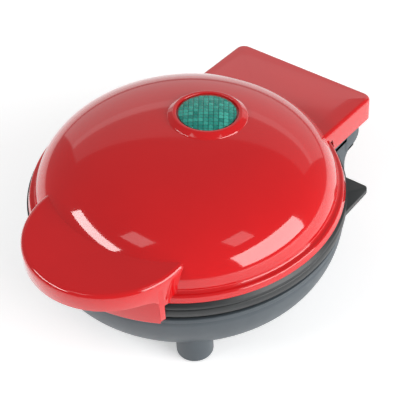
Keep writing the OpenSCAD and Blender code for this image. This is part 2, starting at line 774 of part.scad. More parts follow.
module base_shell() color("#4a5056") placed() difference() {
    union() {
        difference() {
            union() {
                bowl_solid();
                foot_stubs();
            }
            bowl_hollow();
        }
        difference() {
            neck_solid();
            neck_hollow();
        }
        screw_tubes();
        lid_stop();
    }
    base_screw_places() {
        cylinder(r = long_screw[1] + fit_gap, h = boss_floor);
        cylinder(r = long_screw[0] + fit_gap, h = boss_floor + web_t + 1);
    }
    foot_places() cylinder(r = pad_disc_r + run_gap, h = stub_lift + pad_recess);
    for (side = [0, 1]) mirror([side, 0, 0])
        rod_x(pin_r + 0.02, pin_from, pin_to, hinge_y, hinge_z);
    ear_slots();
    translate([-lead_gap, neck_y - wall - 1, hinge_z - 2])
        cube([2 * lead_gap, 20, 20]);
    wire_way_x = 14;
    translate([-wire_way_x, bottom_r, base_bottom + wall])
        cube([2 * wire_way_x, base_r - bottom_r + 2, 16]);
    translate([0, neck_y + 1, gland_z]) rotate([90, 0, 0])
        cylinder(r = gland_r + run_gap, h = wall + 3);
}

module foot_pads() color("#1c1c1c") placed() foot_places()
    cylinder(r = pad_disc_r, h = stub_lift + pad_recess - run_gap);

module base_screws() color("silver") placed() base_screw_places()
    translate([0, 0, boss_floor]) screw(long_screw, long_pilot - 0.5);

module hinge_pins() color("silver") placed() for (side = [0, 1]) mirror([side, 0, 0])
    rod_x(pin_r, pin_from + 0.2, pin_to - 0.2, hinge_y, hinge_z);

// Gland with a lip outside the neck's rear wall
lip_sheet = 1.2;
gland_len = wall + lip_sheet + 0.6;
module cord_grommet() color("#1c1c1c") placed()
    translate([0, neck_y + lip_sheet, gland_z]) rotate([90, 0, 0]) difference() {
        union() {
            cylinder(r = gland_r, h = gland_len);
            cylinder(r = gland_r + 0.8, h = lip_sheet);
        }
        translate([0, 0, -1]) cylinder(r = cord_r, h = gland_len + 2);
    }

block_size = [22, 8, 7];
block_y = neck_y - 14.7;
clamp_x = 7;
clamp_r = 1.5;
lead_z = base_bottom + wall + 3;
module terminal_block() color("ivory") placed()
    translate([0, block_y, base_bottom + wall]) difference() {
        translate([-block_size[0] / 2, -block_size[1] / 2, 0]) cube(block_size);
        for (x = [-clamp_x, clamp_x]) {
            translate([x, 0, 2]) cylinder(r = clamp_r, h = 10, $fn = 32);
            translate([x, -block_size[1], 3]) rotate([-90, 0, 0])
                cylinder(r = lead_r + fit_gap, h = 2 * block_size[1], $fn = 32);
        }
    }

module terminal_screws() color("gold") placed() for (x = [-clamp_x, clamp_x])
    translate([x, block_y, lead_z + lead_r + 0.2])
        cylinder(r = clamp_r - run_gap, h = block_size[2] - 3 - lead_r + 0.3, $fn = 32);

// Wire through a list of points, with a short sleeve across each bend
module wire(points) {
    for (i = [0:len(points) - 2]) {
        d = points[i + 1] - points[i];
        reach = norm(d);
        translate(points[i]) rotate([0, acos(d[2] / reach), atan2(d[1], d[0])])
            cylinder(r = lead_r, h = reach, $fn = 24);
    }
    for (i = [1:1:len(points) - 2])
        rod_x(sleeve_r, points[i][0] - sleeve_r, points[i][0] + sleeve_r,
              points[i][1], points[i][2]);
}

// The leads leave their pins behind the elements, and end on each side of the hinge's axis.
element_pin_y = element_r + tail_len + pin_len + 0.2;
axis_gap = 1.6;
riser_y = (base_r + neck_y - wall) / 2;

module base_leads() color("whitesmoke") placed() for (side = [-1, 1]) {
    z = element_z - mating_depth;
    wire([[side * tail_x, element_pin_y, z], [side * tail_x, element_pin_y + 8, z],
          [side * tail_x, element_pin_y + 8, lead_z], [side * tail_x, block_y - 0.5, lead_z]]);
    wire([[side * tail_x, block_y + 0.5, lead_z], [side * tail_x, riser_y, lead_z],
          [side * lead_x, riser_y, hinge_z],
          [side * lead_x, hinge_y - axis_gap, hinge_z]]);
}

module lid_leads() color("whitesmoke") placed() for (side = [-1, 1]) {
    z = -element_z - mating_depth;
    low = plate_t - mating_depth + sleeve_r + lead_room;
    wire([[side * lead_x, hinge_y, hinge_z + axis_gap],
          [side * lead_x, hinge_y + 0.5, hinge_z + 8], [side * lead_x, rim_r + 7, low - 2.4],
          [side * lead_x, rim_r + 1, low], [side * lead_x, ledge_r, low],
          [side * tail_x, element_pin_y + 6, z], [side * tail_x, element_pin_y, z]]);
}

lid_shell();
indicator_lens();
lens_retainer();
lamp_holder();
indicator_lamps();
upper_ring();
lid_screws();
upper_plate();
upper_plate_screws();
upper_element();
upper_element_pins();
upper_reflector();
upper_pan_screws();
lid_leads();
base_shell();
foot_pads();
base_screws();
lower_ring();
lower_plate();
lower_plate_screws();
lower_element();
lower_element_pins();
lower_reflector();
lower_pan_screws();
thermostat();
thermal_fuse();
fuse_strap();
hinge_pins();
cord_grommet();
terminal_block();
terminal_screws();
base_leads();
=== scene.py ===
"""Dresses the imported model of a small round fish-cake maker and sets it in its photograph's view.

Shapes are worked out in millimetres about the dome's axis, with z = 0 at the lid's bottom edge, and
become metres in the model's frame when their mesh is made.
"""

from __future__ import annotations

import json
import logging
import math
from dataclasses import dataclass
from enum import Enum
from typing import Sequence

import bmesh
import bpy
import numpy as np
from mathutils import Matrix, Vector

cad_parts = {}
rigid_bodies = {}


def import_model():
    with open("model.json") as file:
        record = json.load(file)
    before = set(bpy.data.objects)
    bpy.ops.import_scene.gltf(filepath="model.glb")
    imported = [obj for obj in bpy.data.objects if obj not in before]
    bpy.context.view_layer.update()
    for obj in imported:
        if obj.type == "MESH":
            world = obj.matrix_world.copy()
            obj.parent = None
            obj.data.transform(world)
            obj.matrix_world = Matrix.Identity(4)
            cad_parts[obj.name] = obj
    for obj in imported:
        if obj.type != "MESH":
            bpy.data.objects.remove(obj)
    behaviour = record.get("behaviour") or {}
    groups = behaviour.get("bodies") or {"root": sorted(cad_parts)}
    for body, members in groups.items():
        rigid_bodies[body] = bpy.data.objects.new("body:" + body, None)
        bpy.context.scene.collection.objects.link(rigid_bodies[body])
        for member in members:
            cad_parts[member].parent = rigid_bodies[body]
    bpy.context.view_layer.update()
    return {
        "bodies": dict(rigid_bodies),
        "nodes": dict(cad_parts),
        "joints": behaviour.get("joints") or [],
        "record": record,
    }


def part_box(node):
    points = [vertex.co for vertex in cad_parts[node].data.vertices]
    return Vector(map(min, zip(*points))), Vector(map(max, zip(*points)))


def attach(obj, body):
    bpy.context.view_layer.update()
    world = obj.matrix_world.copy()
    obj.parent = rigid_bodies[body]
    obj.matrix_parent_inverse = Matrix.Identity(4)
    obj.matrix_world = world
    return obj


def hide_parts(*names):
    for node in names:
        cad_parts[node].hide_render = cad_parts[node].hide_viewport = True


LOG = logging.getLogger("fish_cake_maker")
MM = 0.001
TAU = 2 * math.pi
TINY = 1e-9  # keeps a division away from zero
CREASE = 32.0  # least angle between faces that stays sharp, in degrees
NOISE_RANGE = (0.3, 0.7)  # where nearly all of a noise texture's values lie
RIB_SIDES = 8
PRISM_PITCH = 2.0  # distance between the lens's prisms, in millimetres
PRISM_TURN = 35.5  # direction of their rows, in degrees


class Body(Enum):
    """The two rigid bodies that the pieces ride on."""

    BASE = "base"
    LID = "lid"


class Along(Enum):
    """The axis that a prism's outline is carried along."""

    X = "x"
    Z = "z"


# Shapes


@dataclass
class Shape:
    """Points in millimetres and the faces that join them.

    Args:
        points: One row of x, y and z for each point.
        faces: Lists of point numbers, one list for each face.
    """

    points: np.ndarray
    faces: list[list[int]]

    def __add__(self, other: "Shape") -> "Shape":
        """Both shapes as one.

        Args:
            other: The shape that is added.

        Returns:
            The points and faces of both.
        """
        shift = len(self.points)
        moved = [[i + shift for i in face] for face in other.faces]
        return Shape(np.vstack([self.points, other.points]), self.faces + moved)

    def moved(self, x: float = 0.0, y: float = 0.0, z: float = 0.0) -> "Shape":
        """The same shape in another place."""
        return Shape(self.points + np.array([x, y, z]), self.faces)

    def leaned(self, degrees: float) -> "Shape":
        """The shape turned about the X axis, so that its top leans towards +Y.

        Args:
            degrees: How far it leans.

        Returns:
            The turned shape.
        """
        a = math.radians(degrees)
        turn = np.array([[1, 0, 0], [0, math.cos(a), math.sin(a)], [0, -math.sin(a), math.cos(a)]])
        return Shape(self.points @ turn.T, self.faces)

    def mirrored(self) -> "Shape":
        """The same shape on the other side of the middle."""
        flipped = self.points * np.array([-1.0, 1.0, 1.0])
        return Shape(flipped, [face[::-1] for face in self.faces])


def grid(points: np.ndarray, wrap_rows: bool = False, wrap_columns: bool = False) -> Shape:
    """Joins a grid of points with four-sided faces.

    Args:
        points: An array of rows by columns by 3.
        wrap_rows: True if the last row joins the first.
        wrap_columns: True if the last column joins the first.

    Returns:
        The surface as a shape.
    """
    rows, columns = points.shape[:2]
    i = np.arange(rows if wrap_rows else rows - 1)
    j = np.arange(columns if wrap_columns else columns - 1)
    a, b = np.meshgrid(i, j, indexing="ij")
    c, d = (a + 1) % rows, (b + 1) % columns
    faces = np.stack([a * columns + b, c * columns + b, c * columns + d, a * columns + d], -1)
    return Shape(points.reshape(-1, 3), faces.reshape(-1, 4).tolist())


def capped(shape: Shape, count: int) -> Shape:
    """Closes a tube at its first and its last ring of points.

    Args:
        shape: The tube, with its points stored ring by ring.
        count: How many points a ring has.

    Returns:
        The closed shape.
    """
    last = len(shape.points) - count
    shape.faces += [list(range(count))[::-1], list(range(last, last + count))]
    return shape


def walled(rows: list[np.ndarray]) -> Shape:
    """Joins rows of points round a wall's section, and closes its first and its last column.

    Args:
        rows: One array of points for each row, all of the same length.

    Returns:
        The closed wall.
    """
    points = np.stack(rows)
    columns = points.shape[1]
    shape = grid(points, wrap_rows=True)
    ring = np.arange(len(points)) * columns
    shape.faces += [ring.tolist(), (ring + columns - 1)[::-1].tolist()]
    return shape


def arc(cx: float, cy: float, r: float, start: float, stop: float, steps: int = 6) -> np.ndarray:
    """Points on a circle about (cx, cy), from one angle to another in degrees."""
    t = np.radians(np.linspace(start, stop, steps + 1))
    return np.stack([cx + r * np.cos(t), cy + r * np.sin(t)], -1)


def rounded(corners: Sequence[tuple[float, float, float]], steps: int = 5) -> np.ndarray:
    """A closed outline whose corners are rounded off.

    Each corner gives way to the arc of its own radius that touches both of its sides, and no arc
    takes more than half of a side.

    Args:
        corners: The x, y and radius of each corner, in order.
        steps: How many pieces each arc has.

    Returns:
        The outline's points, one row each.
    """
    spots = np.array([c[:2] for c in corners], float)
    out: list[np.ndarray] = []
    for k, (_, _, radius) in enumerate(corners):
        here, before, after = spots[k], spots[k - 1], spots[(k + 1) % len(spots)]
        if radius <= 0:
            out.append(here[None])
            continue
        a = (before - here) / np.linalg.norm(before - here)
        b = (after - here) / np.linalg.norm(after - here)
        half = math.acos(float(np.clip(a @ b, -1, 1))) / 2
        room = 0.49 * min(np.linalg.norm(before - here), np.linalg.norm(after - here))
        reach = min(radius / math.tan(half), room)
        r = reach * math.tan(half)
        centre = here + (a + b) / np.linalg.norm(a + b) * (r / math.sin(half))
        first, last = here + a * reach - centre, here + b * reach - centre
        t = np.linspace(0, 1, steps + 1)[:, None]
        swing = math.pi - 2 * half
        out.append(centre + (np.sin((1 - t) * swing) * first + np.sin(t * swing) * last)
                   / math.sin(swing))
    return np.vstack(out)


def revolve(profile: np.ndarray, segments: int = 192, closed: bool = True,
            span: tuple[float, float] = (0.0, 360.0)) -> Shape:
    """Turns a profile of radius and height about the Z axis.

    Args:
        profile: The radius and height of each point.
        segments: How many pieces the turn is made of.
        closed: True if the profile is a loop that doesn't touch the axis.
        span: First and last angle, in degrees. A full turn joins up, and a part turn is capped.

    Returns:
        The surface as a shape.
    """
    full = span[1] - span[0] >= 360
    t = np.radians(np.linspace(span[0], span[1], segments + 1))
    t = t[:-1] if full else t
    x = profile[None, :, 0] * np.cos(t)[:, None]
    y = profile[None, :, 0] * np.sin(t)[:, None]
    z = np.broadcast_to(profile[None, :, 1], x.shape)
    shape = grid(np.stack([x, y, z], -1), wrap_rows=full, wrap_columns=closed)
    return shape if full else capped(shape, len(profile))


def inset(outline: np.ndarray, depth: float) -> np.ndarray:
    """A closed outline moved inwards, each point along the mean of its two sides' normals.

    Args:
        outline: The outline's points, in either order.
        depth: How far its sides move.

    Returns:
        The moved points.
    """
    ahead = np.roll(outline, -1, 0) - outline
    length = np.maximum(np.linalg.norm(ahead, axis=1, keepdims=True), TINY)
    normal = np.stack([-ahead[:, 1], ahead[:, 0]], -1) / length
    area = np.sum(outline[:, 0] * np.roll(outline[:, 1], -1) - np.roll(outline[:, 0], -1)
                  * outline[:, 1])
    mean = normal + np.roll(normal, 1, 0)
    mean /= np.maximum(np.linalg.norm(mean, axis=1, keepdims=True), TINY)
    slant = np.clip(np.sum(mean * normal, axis=1, keepdims=True), 0.5, 1)
    return outline + mean / slant * depth * np.sign(area)


def prism(outline: np.ndarray, low: float, high: float, along: Along, edge: float = 0.0,
          steps: int = 3) -> Shape:
    """Carries a closed outline along an axis, with its two ends' edges rounded off.

    Each ring of points near an end is the outline moved inwards by a quarter circle's width there.

    Args:
        outline: Points of y and z for a prism along X, or of x and y for one along Z.
        low: Where the prism starts on its axis.
        high: Where it ends.
        along: The axis.
        edge: Radius of the rounding.
        steps: How many pieces the rounding has.

    Returns:
        The closed solid's surface.
    """
    t = np.linspace(0, math.pi / 2, steps + 1)[::-1] if edge > 0 else np.zeros(1)
    rise, depth = edge * (1 - np.sin(t)), edge * (1 - np.cos(t))
    places = np.concatenate([low + rise, (high - rise)[::-1]])
    depths = np.concatenate([depth, depth[::-1]])
    rings = np.stack([inset(outline, d) if d > 0 else outline for d in depths])
    axis = np.broadcast_to(places[:, None, None], rings.shape[:2] + (1,))
    order = [axis, rings[..., :1], rings[..., 1:]] if along is Along.X else \
        [rings[..., :1], rings[..., 1:], axis]
    return capped(grid(np.concatenate(order, -1), wrap_columns=True), len(outline))


def resample(points: np.ndarray, count: int) -> np.ndarray:
    """The same line with its points spaced evenly along it.

    Args:
        points: The line's points.
        count: How many points the new line has.

    Returns:
        The new points.
    """
    run = np.concatenate([[0], np.cumsum(np.linalg.norm(np.diff(points, axis=0), axis=1))])
    at = np.linspace(0, run[-1], count)
    return np.stack([np.interp(at, run, points[:, k]) for k in range(points.shape[1])], -1)


# Finishes


def effect_group(name: str, inputs: Sequence[tuple[str, float]],
                 outputs: Sequence[str]) -> tuple[bpy.types.NodeTree, object, object]:
    """Makes an empty shader node group with number inputs.

    Args:
        name: The group's name.
        inputs: Each input's name and first value.
        outputs: The outputs' names.

    Returns:
        The group, its input node and its output node.
    """
    tree = bpy.data.node_groups.new(name, "ShaderNodeTree")
    for label, value in inputs:
        socket = tree.interface.new_socket(label, in_out="INPUT", socket_type="NodeSocketFloat")
        socket.default_value = value
    for label in outputs:
        tree.interface.new_socket(label, in_out="OUTPUT", socket_type="NodeSocketFloat")
    return tree, tree.nodes.new("NodeGroupInput"), tree.nodes.new("NodeGroupOutput")


def noise(tree: bpy.types.NodeTree, detail: float, roughness: float) -> bpy.types.Node:
    """A noise texture on Object coordinates, with its scale left to link.

    Args:
        tree: The group that it is made in.
        detail: How many octaves it has.
        roughness: How strong the finer ones are.

    Returns:
        The texture's node.
    """
    coords = tree.nodes.new("ShaderNodeTexCoord")
    texture = tree.nodes.new("ShaderNodeTexNoise")
    texture.inputs["Detail"].default_value = detail
    texture.inputs["Roughness"].default_value = roughness
    tree.links.new(coords.outputs["Object"], texture.inputs["Vector"])
    return texture


def spread(tree: bpy.types.NodeTree, source: object, low: object, high: object) -> object:
    """Stretches a noise texture's value over a range.

    Args:
        tree: The group that it is made in.
        source: The texture's socket.
        low: The range's lower end, as a number or a socket.
        high: Its upper end.

    Returns:
        The socket that holds the stretched value.
    """
    node = tree.nodes.new("ShaderNodeMapRange")
    node.inputs["From Min"].default_value, node.inputs["From Max"].default_value = NOISE_RANGE
    tree.links.new(source, node.inputs["Value"])
    for socket, value in ((node.inputs["To Min"], low), (node.inputs["To Max"], high)):
        if isinstance(value, (int, float)):
            socket.default_value = value
        else:
            tree.links.new(value, socket)
    return node.outputs["Result"]


class Effects:
    """The effects that several finishes share, each a node group that is built once."""

    def __init__(self) -> None:
        """Builds the groups."""
        self.mottle = self._mottle()
        self.grain = self._grain()
        self.brushing = self._brushing()

    def _mottle(self) -> bpy.types.NodeTree:
        """Cloudy change of a value, for uneven gloss and colour: one soft noise over a range.

        Returns:
            The group.
        """
        tree, given, out = effect_group(
            "mottle", (("Scale", 40.0), ("Low", 0.0), ("High", 1.0)), ("Value",))
        cloud = noise(tree, detail=3.0, roughness=0.6)
        tree.links.new(given.outputs["Scale"], cloud.inputs["Scale"])
        value = spread(tree, cloud.outputs["Fac"], given.outputs["Low"], given.outputs["High"])
        tree.links.new(value, out.inputs["Value"])
        return tree

    def _grain(self) -> bpy.types.NodeTree:
        """Fine pits of moulded plastic: a noise of many octaves as a height.

        Returns:
            The group.
        """
        tree, given, out = effect_group("grain", (("Scale", 2500.0),), ("Height",))
        pits = noise(tree, detail=6.0, roughness=0.7)
        tree.links.new(given.outputs["Scale"], pits.inputs["Scale"])
        tree.links.new(pits.outputs["Fac"], out.inputs["Height"])
        return tree

    def _brushing(self) -> bpy.types.NodeTree:
        """Fine lines along X: a noise that is stretched fiftyfold.

        Returns:
            The group.
        """
        tree, given, out = effect_group("brushing", (("Scale", 900.0),), ("Height",))
        coords = tree.nodes.new("ShaderNodeTexCoord")
        stretch = tree.nodes.new("ShaderNodeMapping")
        stretch.inputs["Scale"].default_value = (0.02, 1.0, 1.0)
        lines = tree.nodes.new("ShaderNodeTexNoise")
        lines.inputs["Detail"].default_value = 4.0
        tree.links.new(coords.outputs["Object"], stretch.inputs["Vector"])
        tree.links.new(stretch.outputs["Vector"], lines.inputs["Vector"])
        tree.links.new(given.outputs["Scale"], lines.inputs["Scale"])
        tree.links.new(lines.outputs["Fac"], out.inputs["Height"])
        return tree


def linear(rgb: tuple[int, int, int]) -> tuple[float, float, float, float]:
    """A screen colour as the linear colour that shaders take, by the standard screen curve.

    Args:
        rgb: Red, green and blue, 0 to 255.

    Returns:
        Red, green, blue and a full opacity, 0 to 1.
    """
    c = np.array(rgb) / 255
    c = np.where(c <= 0.04045, c / 12.92, ((c + 0.055) / 1.055) ** 2.4)
    return float(c[0]), float(c[1]), float(c[2]), 1.0


@dataclass(frozen=True)
class Finish:
    """A surface finish with uneven colour and gloss over a fine grain.

    Args:
        name: The material's name.
        rgb: The colour as a screen shows it, 0 to 255.
        second: A second colour, which clouds of it change to.
        roughness: The least and the most roughness.
        tint: How far they change, 0 to 1.
        cloud: Scale of the colour's clouds.
        gloss_scale: How many times finer the clouds of the roughness are.
        grain: Scale of the bumps.
        height: Height of the bumps in metres.
        strength: Strength of the bumps, 0 to 1.
        metallic: 1 for bare metal.
        coat: Weight of a clear top layer.
        coat_roughness: Roughness of that layer.
        brushed: True if the bumps are lines along X.
    """

    name: str
    rgb: tuple[int, int, int]
    second: tuple[int, int, int]
    roughness: tuple[float, float]
    tint: float = 1.0
    cloud: float = 60.0
    gloss_scale: float = 1.7
    grain: float = 2500.0
    height: float = 0.00001
    strength: float = 0.5
    metallic: float = 0.0
    coat: float = 0.0
    coat_roughness: float = 0.04
    brushed: bool = False

    def build(self, effects: Effects) -> bpy.types.Material:
        """Makes the material.

        Args:
            effects: The shared groups.

        Returns:
            The material.
        """
        material = bpy.data.materials.new(self.name)
        material.use_nodes = True
        tree = material.node_tree
        shader = tree.nodes["Principled BSDF"]
        shader.inputs["Metallic"].default_value = self.metallic
        shader.inputs["Coat Weight"].default_value = self.coat
        shader.inputs["Coat Roughness"].default_value = self.coat_roughness
        self._colour(tree, shader, effects)
        self._gloss(tree, shader, effects)
        self._bumps(tree, shader, effects)
        return material

    def _cloud(self, tree: bpy.types.NodeTree, effects: Effects, scale: float, low: float,
               high: float) -> object:
        """One mottle group with its own values.

        Args:
            tree: The material's nodes.
            effects: The shared groups.
            scale: Scale of the clouds.
            low: The least value.
            high: The greatest value.

        Returns:
            The group's output.
        """
        group = tree.nodes.new("ShaderNodeGroup")
        group.node_tree = effects.mottle
        for label, value in (("Scale", scale), ("Low", low), ("High", high)):
            group.inputs[label].default_value = value
        return group.outputs["Value"]

    def _colour(self, tree: bpy.types.NodeTree, shader: bpy.types.Node, effects: Effects) -> None:
        """Mixes the two colours by a soft cloud.

        Args:
            tree: The material's nodes.
            shader: Its main shader.
            effects: The shared groups.
        """
        mix = tree.nodes.new("ShaderNodeMix")
        mix.data_type = "RGBA"
        mix.inputs["A"].default_value = linear(self.rgb)
        mix.inputs["B"].default_value = linear(self.second)
        tree.links.new(self._cloud(tree, effects, self.cloud, 0.0, self.tint),
                       mix.inputs["Factor"])
        tree.links.new(mix.outputs["Result"], shader.inputs["Base Color"])

    def _gloss(self, tree: bpy.types.NodeTree, shader: bpy.types.Node, effects: Effects) -> None:
        """Lets the roughness drift between its two ends.

        Args:
            tree: The material's nodes.
            shader: Its main shader.
            effects: The shared groups.
        """
        scale = self.cloud * self.gloss_scale
        tree.links.new(self._cloud(tree, effects, scale, *self.roughness),
                       shader.inputs["Roughness"])

    def _bumps(self, tree: bpy.types.NodeTree, shader: bpy.types.Node, effects: Effects) -> None:
        """Raises the grain or the brushed lines.

        Args:
            tree: The material's nodes.
            shader: Its main shader.
            effects: The shared groups.
        """
        group = tree.nodes.new("ShaderNodeGroup")
        group.node_tree = effects.brushing if self.brushed else effects.grain
        group.inputs["Scale"].default_value = self.grain
        bump = tree.nodes.new("ShaderNodeBump")
        bump.inputs["Strength"].default_value = self.strength
        bump.inputs["Distance"].default_value = self.height
        tree.links.new(group.outputs["Height"], bump.inputs["Height"])
        tree.links.new(bump.outputs["Normal"], shader.inputs["Normal"])


@dataclass(frozen=True)
class PrismFinish(Finish):
    """Coloured plastic over small square prisms, each of which catches another part of the light.

    Args:
        pitch: Distance between the prisms, in metres.
        turn: Direction of their rows, in degrees.
        cell: Size of a cell in the texture's own units.
        groove: Width of the lines of painted shade between the cells, in the same units.
        softness: How softly those lines fade, 0 to 1.
        painted_groove_shade_rgb: Colour of the painted shade in the grooves, 0 to 255.
    """

    pitch: float = PRISM_PITCH * MM
    turn: float = PRISM_TURN
    cell: float = 0.5
    groove: float = 0.04
    softness: float = 0.6
    # painted shade in the grooves between the prisms
    painted_groove_shade_rgb: tuple[int, int, int] = (4, 66, 60)

    def _colour(self, tree: bpy.types.NodeTree, shader: bpy.types.Node, effects: Effects) -> None:
        """Paints each cell of a square grid its own shade between the two colours, as the prisms'
        painted glints and painted shade, with painted shade in the grooves.

        Args:
            tree: The material's nodes.
            shader: Its main shader.
            effects: The shared groups.
        """
        coords = tree.nodes.new("ShaderNodeTexCoord")
        turn = tree.nodes.new("ShaderNodeMapping")
        turn.inputs["Rotation"].default_value = (0.0, 0.0, -math.radians(self.turn))
        cells = tree.nodes.new("ShaderNodeTexBrick")
        cells.offset, cells.squash = 0.0, 1.0
        for label, value in (("Scale", self.cell / self.pitch), ("Brick Width", self.cell),
                             ("Row Height", self.cell), ("Mortar Size", self.groove),
                             ("Mortar Smooth", self.softness)):
            cells.inputs[label].default_value = value
        # the two colours are the prisms' painted shade and painted glint, and the mortar is painted
        # shade in the grooves
        cells.inputs["Color1"].default_value = linear(self.rgb)
        cells.inputs["Color2"].default_value = linear(self.second)
        cells.inputs["Mortar"].default_value = linear(self.painted_groove_shade_rgb)
        tree.links.new(coords.outputs["Object"], turn.inputs["Vector"])
        tree.links.new(turn.outputs["Vector"], cells.inputs["Vector"])
        tree.links.new(cells.outputs["Color"], shader.inputs["Base Color"])


@dataclass(frozen=True)
class ClearFinish(Finish):
    """A clear plastic skin: mostly see-through, and a mirror where it is seen edge on.

    Args:
        body: How much of the skin's own colour shows where it is seen square on.
        power: How late the skin turns into a mirror on the way to its edges.
    """

    body: float = 0.04
    power: float = 5.0

    def build(self, effects: Effects) -> bpy.types.Material:
        """Makes the material: its opacity is the body and a power of how edge-on it is seen.

        Args:
            effects: The shared groups.

        Returns:
            The material.
        """
        material = super().build(effects)
        tree = material.node_tree
        shader = tree.nodes["Principled BSDF"]
        edge = tree.nodes.new("ShaderNodeLayerWeight")
        edge.inputs["Blend"].default_value = 0.5
        rise = tree.nodes.new("ShaderNodeMath")
        rise.operation = "POWER"
        rise.inputs[1].default_value = self.power
        alpha = tree.nodes.new("ShaderNodeMath")
        alpha.operation = "ADD"
        alpha.inputs[1].default_value = self.body
        alpha.use_clamp = True
        tree.links.new(edge.outputs["Facing"], rise.inputs[0])
        tree.links.new(rise.outputs["Value"], alpha.inputs[0])
        tree.links.new(alpha.outputs["Value"], shader.inputs["Alpha"])
        return material


FINISHES = (
    Finish("red_gloss", (213, 14, 20), (206, 12, 18), (0.07, 0.1), cloud=25, grain=600,
           height=0.000003, coat=0.6),
    Finish("black_satin", (40, 42, 43), (46, 48, 49), (0.34, 0.42)),
    Finish("grey_satin", (70, 78, 84), (76, 84, 90), (0.4, 0.48)),
    Finish("plate_coat", (34, 34, 35), (42, 42, 43), (0.32, 0.46), grain=1400, height=0.00003),
    Finish("dull_sheath", (92, 88, 84), (70, 66, 64), (0.4, 0.55), metallic=1.0),
    Finish("bright_sheet", (196, 198, 200), (180, 182, 186), (0.22, 0.34), metallic=1.0,
           brushed=True),
    Finish("zinc_steel", (186, 188, 190), (160, 162, 166), (0.25, 0.4), metallic=1.0),
    Finish("brass_plain", (198, 164, 92), (180, 146, 80), (0.25, 0.4), metallic=1.0),
    Finish("black_rubber", (24, 24, 25), (34, 34, 35), (0.65, 0.8), grain=1800, height=0.00002),
    Finish("white_silicone", (226, 226, 220), (212, 212, 205), (0.4, 0.5)),
    Finish("ivory_plastic", (224, 218, 200), (214, 206, 188), (0.35, 0.45)),
    Finish("lamp_glass", (235, 150, 90), (225, 130, 70), (0.05, 0.08)),
    # the prisms' two colours are painted shade and painted glint, over painted shade in the grooves
    PrismFinish("green_prisms_painted_glint", (16, 128, 116), (72, 190, 172), (0.1, 0.14), grain=900),
    ClearFinish("green_skin", (60, 190, 170), (66, 196, 176), (0.03, 0.05), height=0.0),
)


# Workshop


@dataclass(frozen=True)
class Datum:
    """Where the dome's axis and the lid's bottom edge lie in the model's frame, in millimetres.

    Args:
        axis_y: Place of the dome's axis along Y.
        rim_z: Height of the lid's bottom edge.
        mating_depth: How far the plates' faces meet below that edge.
    """

    axis_y: float
    rim_z: float
    mating_depth: float = 3.2

    @classmethod
    def from_frame(cls) -> "Datum":
        """Reads the axis from the upper ring, and the height from the upper plate's face.

        Returns:
            The datum.
        """
        low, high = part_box("upper_ring")
        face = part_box("upper_plate")[0].z / MM
        return cls(axis_y=(low.y + high.y) / 2 / MM, rim_z=face + cls.mating_depth)

    def place(self, points: np.ndarray) -> np.ndarray:
        """Points about the dome's axis, in millimetres, as points of the frame in metres."""
        return (points + np.array([0.0, self.axis_y, self.rim_z])) * MM


class Workshop:
    """Turns shapes into finished pieces and keeps their materials.

    Points closer than weld become one, and edges shorter than sliver go, both in metres. The
    points of a fair copy are joined within fair_weld.
    """

    weld: float = 0.000004
    sliver: float = 0.000001
    fair_weld: float = 0.000002

    def __init__(self, frame: dict, datum: Datum) -> None:
        """Builds every finish.

        Args:
            frame: What the frame's loader gave.
            datum: Where the shapes go.
        """
        self.frame = frame
        self.datum = datum
        effects = Effects()
        self.materials = {f.name: f.build(effects) for f in FINISHES}

    def piece(self, name: str, shape: Shape, body: Body, finish: str, slot: str,
              stands_for: Sequence[str] = (), crease: float = CREASE) -> bpy.types.Object:
        """Makes a mesh from a shape, closes it and lets it ride on a body.

        Args:
            name: The piece's name.
            shape: Its points and faces.
            body: What it rides on.
            finish: The name of its finish.
            slot: The record's material slot; not used.
            stands_for: The model's nodes that it replaces.
            crease: The least angle between faces that stays sharp, in degrees.

        Returns:
            The new object.
        """
        mesh = bpy.data.meshes.new(name)
        mesh.from_pydata(self.datum.place(shape.points).tolist(), [], shape.faces)
        work = bmesh.new()
        work.from_mesh(mesh)
        bmesh.ops.remove_doubles(work, verts=work.verts, dist=self.weld)
        bmesh.ops.dissolve_degenerate(work, edges=work.edges, dist=self.sliver)
        bmesh.ops.recalc_face_normals(work, faces=work.faces)
        work.to_mesh(mesh)
        work.free()
        return self._finish(name, mesh, body, finish, stands_for, crease)

    def fair_copy(self, node: str, body: Body, finish: str,
                  crease: float = CREASE) -> bpy.types.Object:
        """A copy of a node with its triangles joined, so that its round faces shade smoothly.

        Args:
            node: The model's node.
            body: What it rides on.
            finish: The name of its finish.
            crease: The least angle that stays sharp, in degrees.

        Returns:
            The new object.
        """
        mesh = self.frame["nodes"][node].data.copy()
        work = bmesh.new()
        work.from_mesh(mesh)
        bmesh.ops.remove_doubles(work, verts=work.verts, dist=self.fair_weld)
        work.to_mesh(mesh)
        work.free()
        return self._finish(node + "_fair", mesh, body, finish, (node,), crease)

    def _finish(self, name: str, mesh: bpy.types.Mesh, body: Body, finish: str,
                stands_for: Sequence[str], crease: float) -> bpy.types.Object:
        """Shades, dresses and mounts a mesh.

        Args:
            name: The piece's name.
            mesh: Its mesh.
            body: What it rides on.
            finish: The name of its finish.
            stands_for: The model's nodes that it replaces.
            crease: The least angle between faces that stays sharp, in degrees.

        Returns:
            The new object.
        """
        mesh.shade_smooth()
        mesh.set_sharp_from_angle(angle=math.radians(crease))
        mesh.materials.clear()
        mesh.materials.append(self.materials[finish])
        obj = bpy.data.objects.new(name, mesh)
        bpy.context.scene.collection.objects.link(obj)
        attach(obj, body.value)
        if stands_for:
            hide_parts(*stands_for)
        LOG.info("%s: %d faces, %s, rides on %s", name, len(mesh.polygons), finish, body.value)
        return obj

    def dress(self, node: str, finish: str) -> None:
        """Gives a node of the model a finish in place of its plain material.

        Args:
            node: The node's name.
            finish: The name of the finish.
        """
        mesh = self.frame["nodes"][node].data
        mesh.materials.clear()
        mesh.materials.append(self.materials[finish])


# Lid


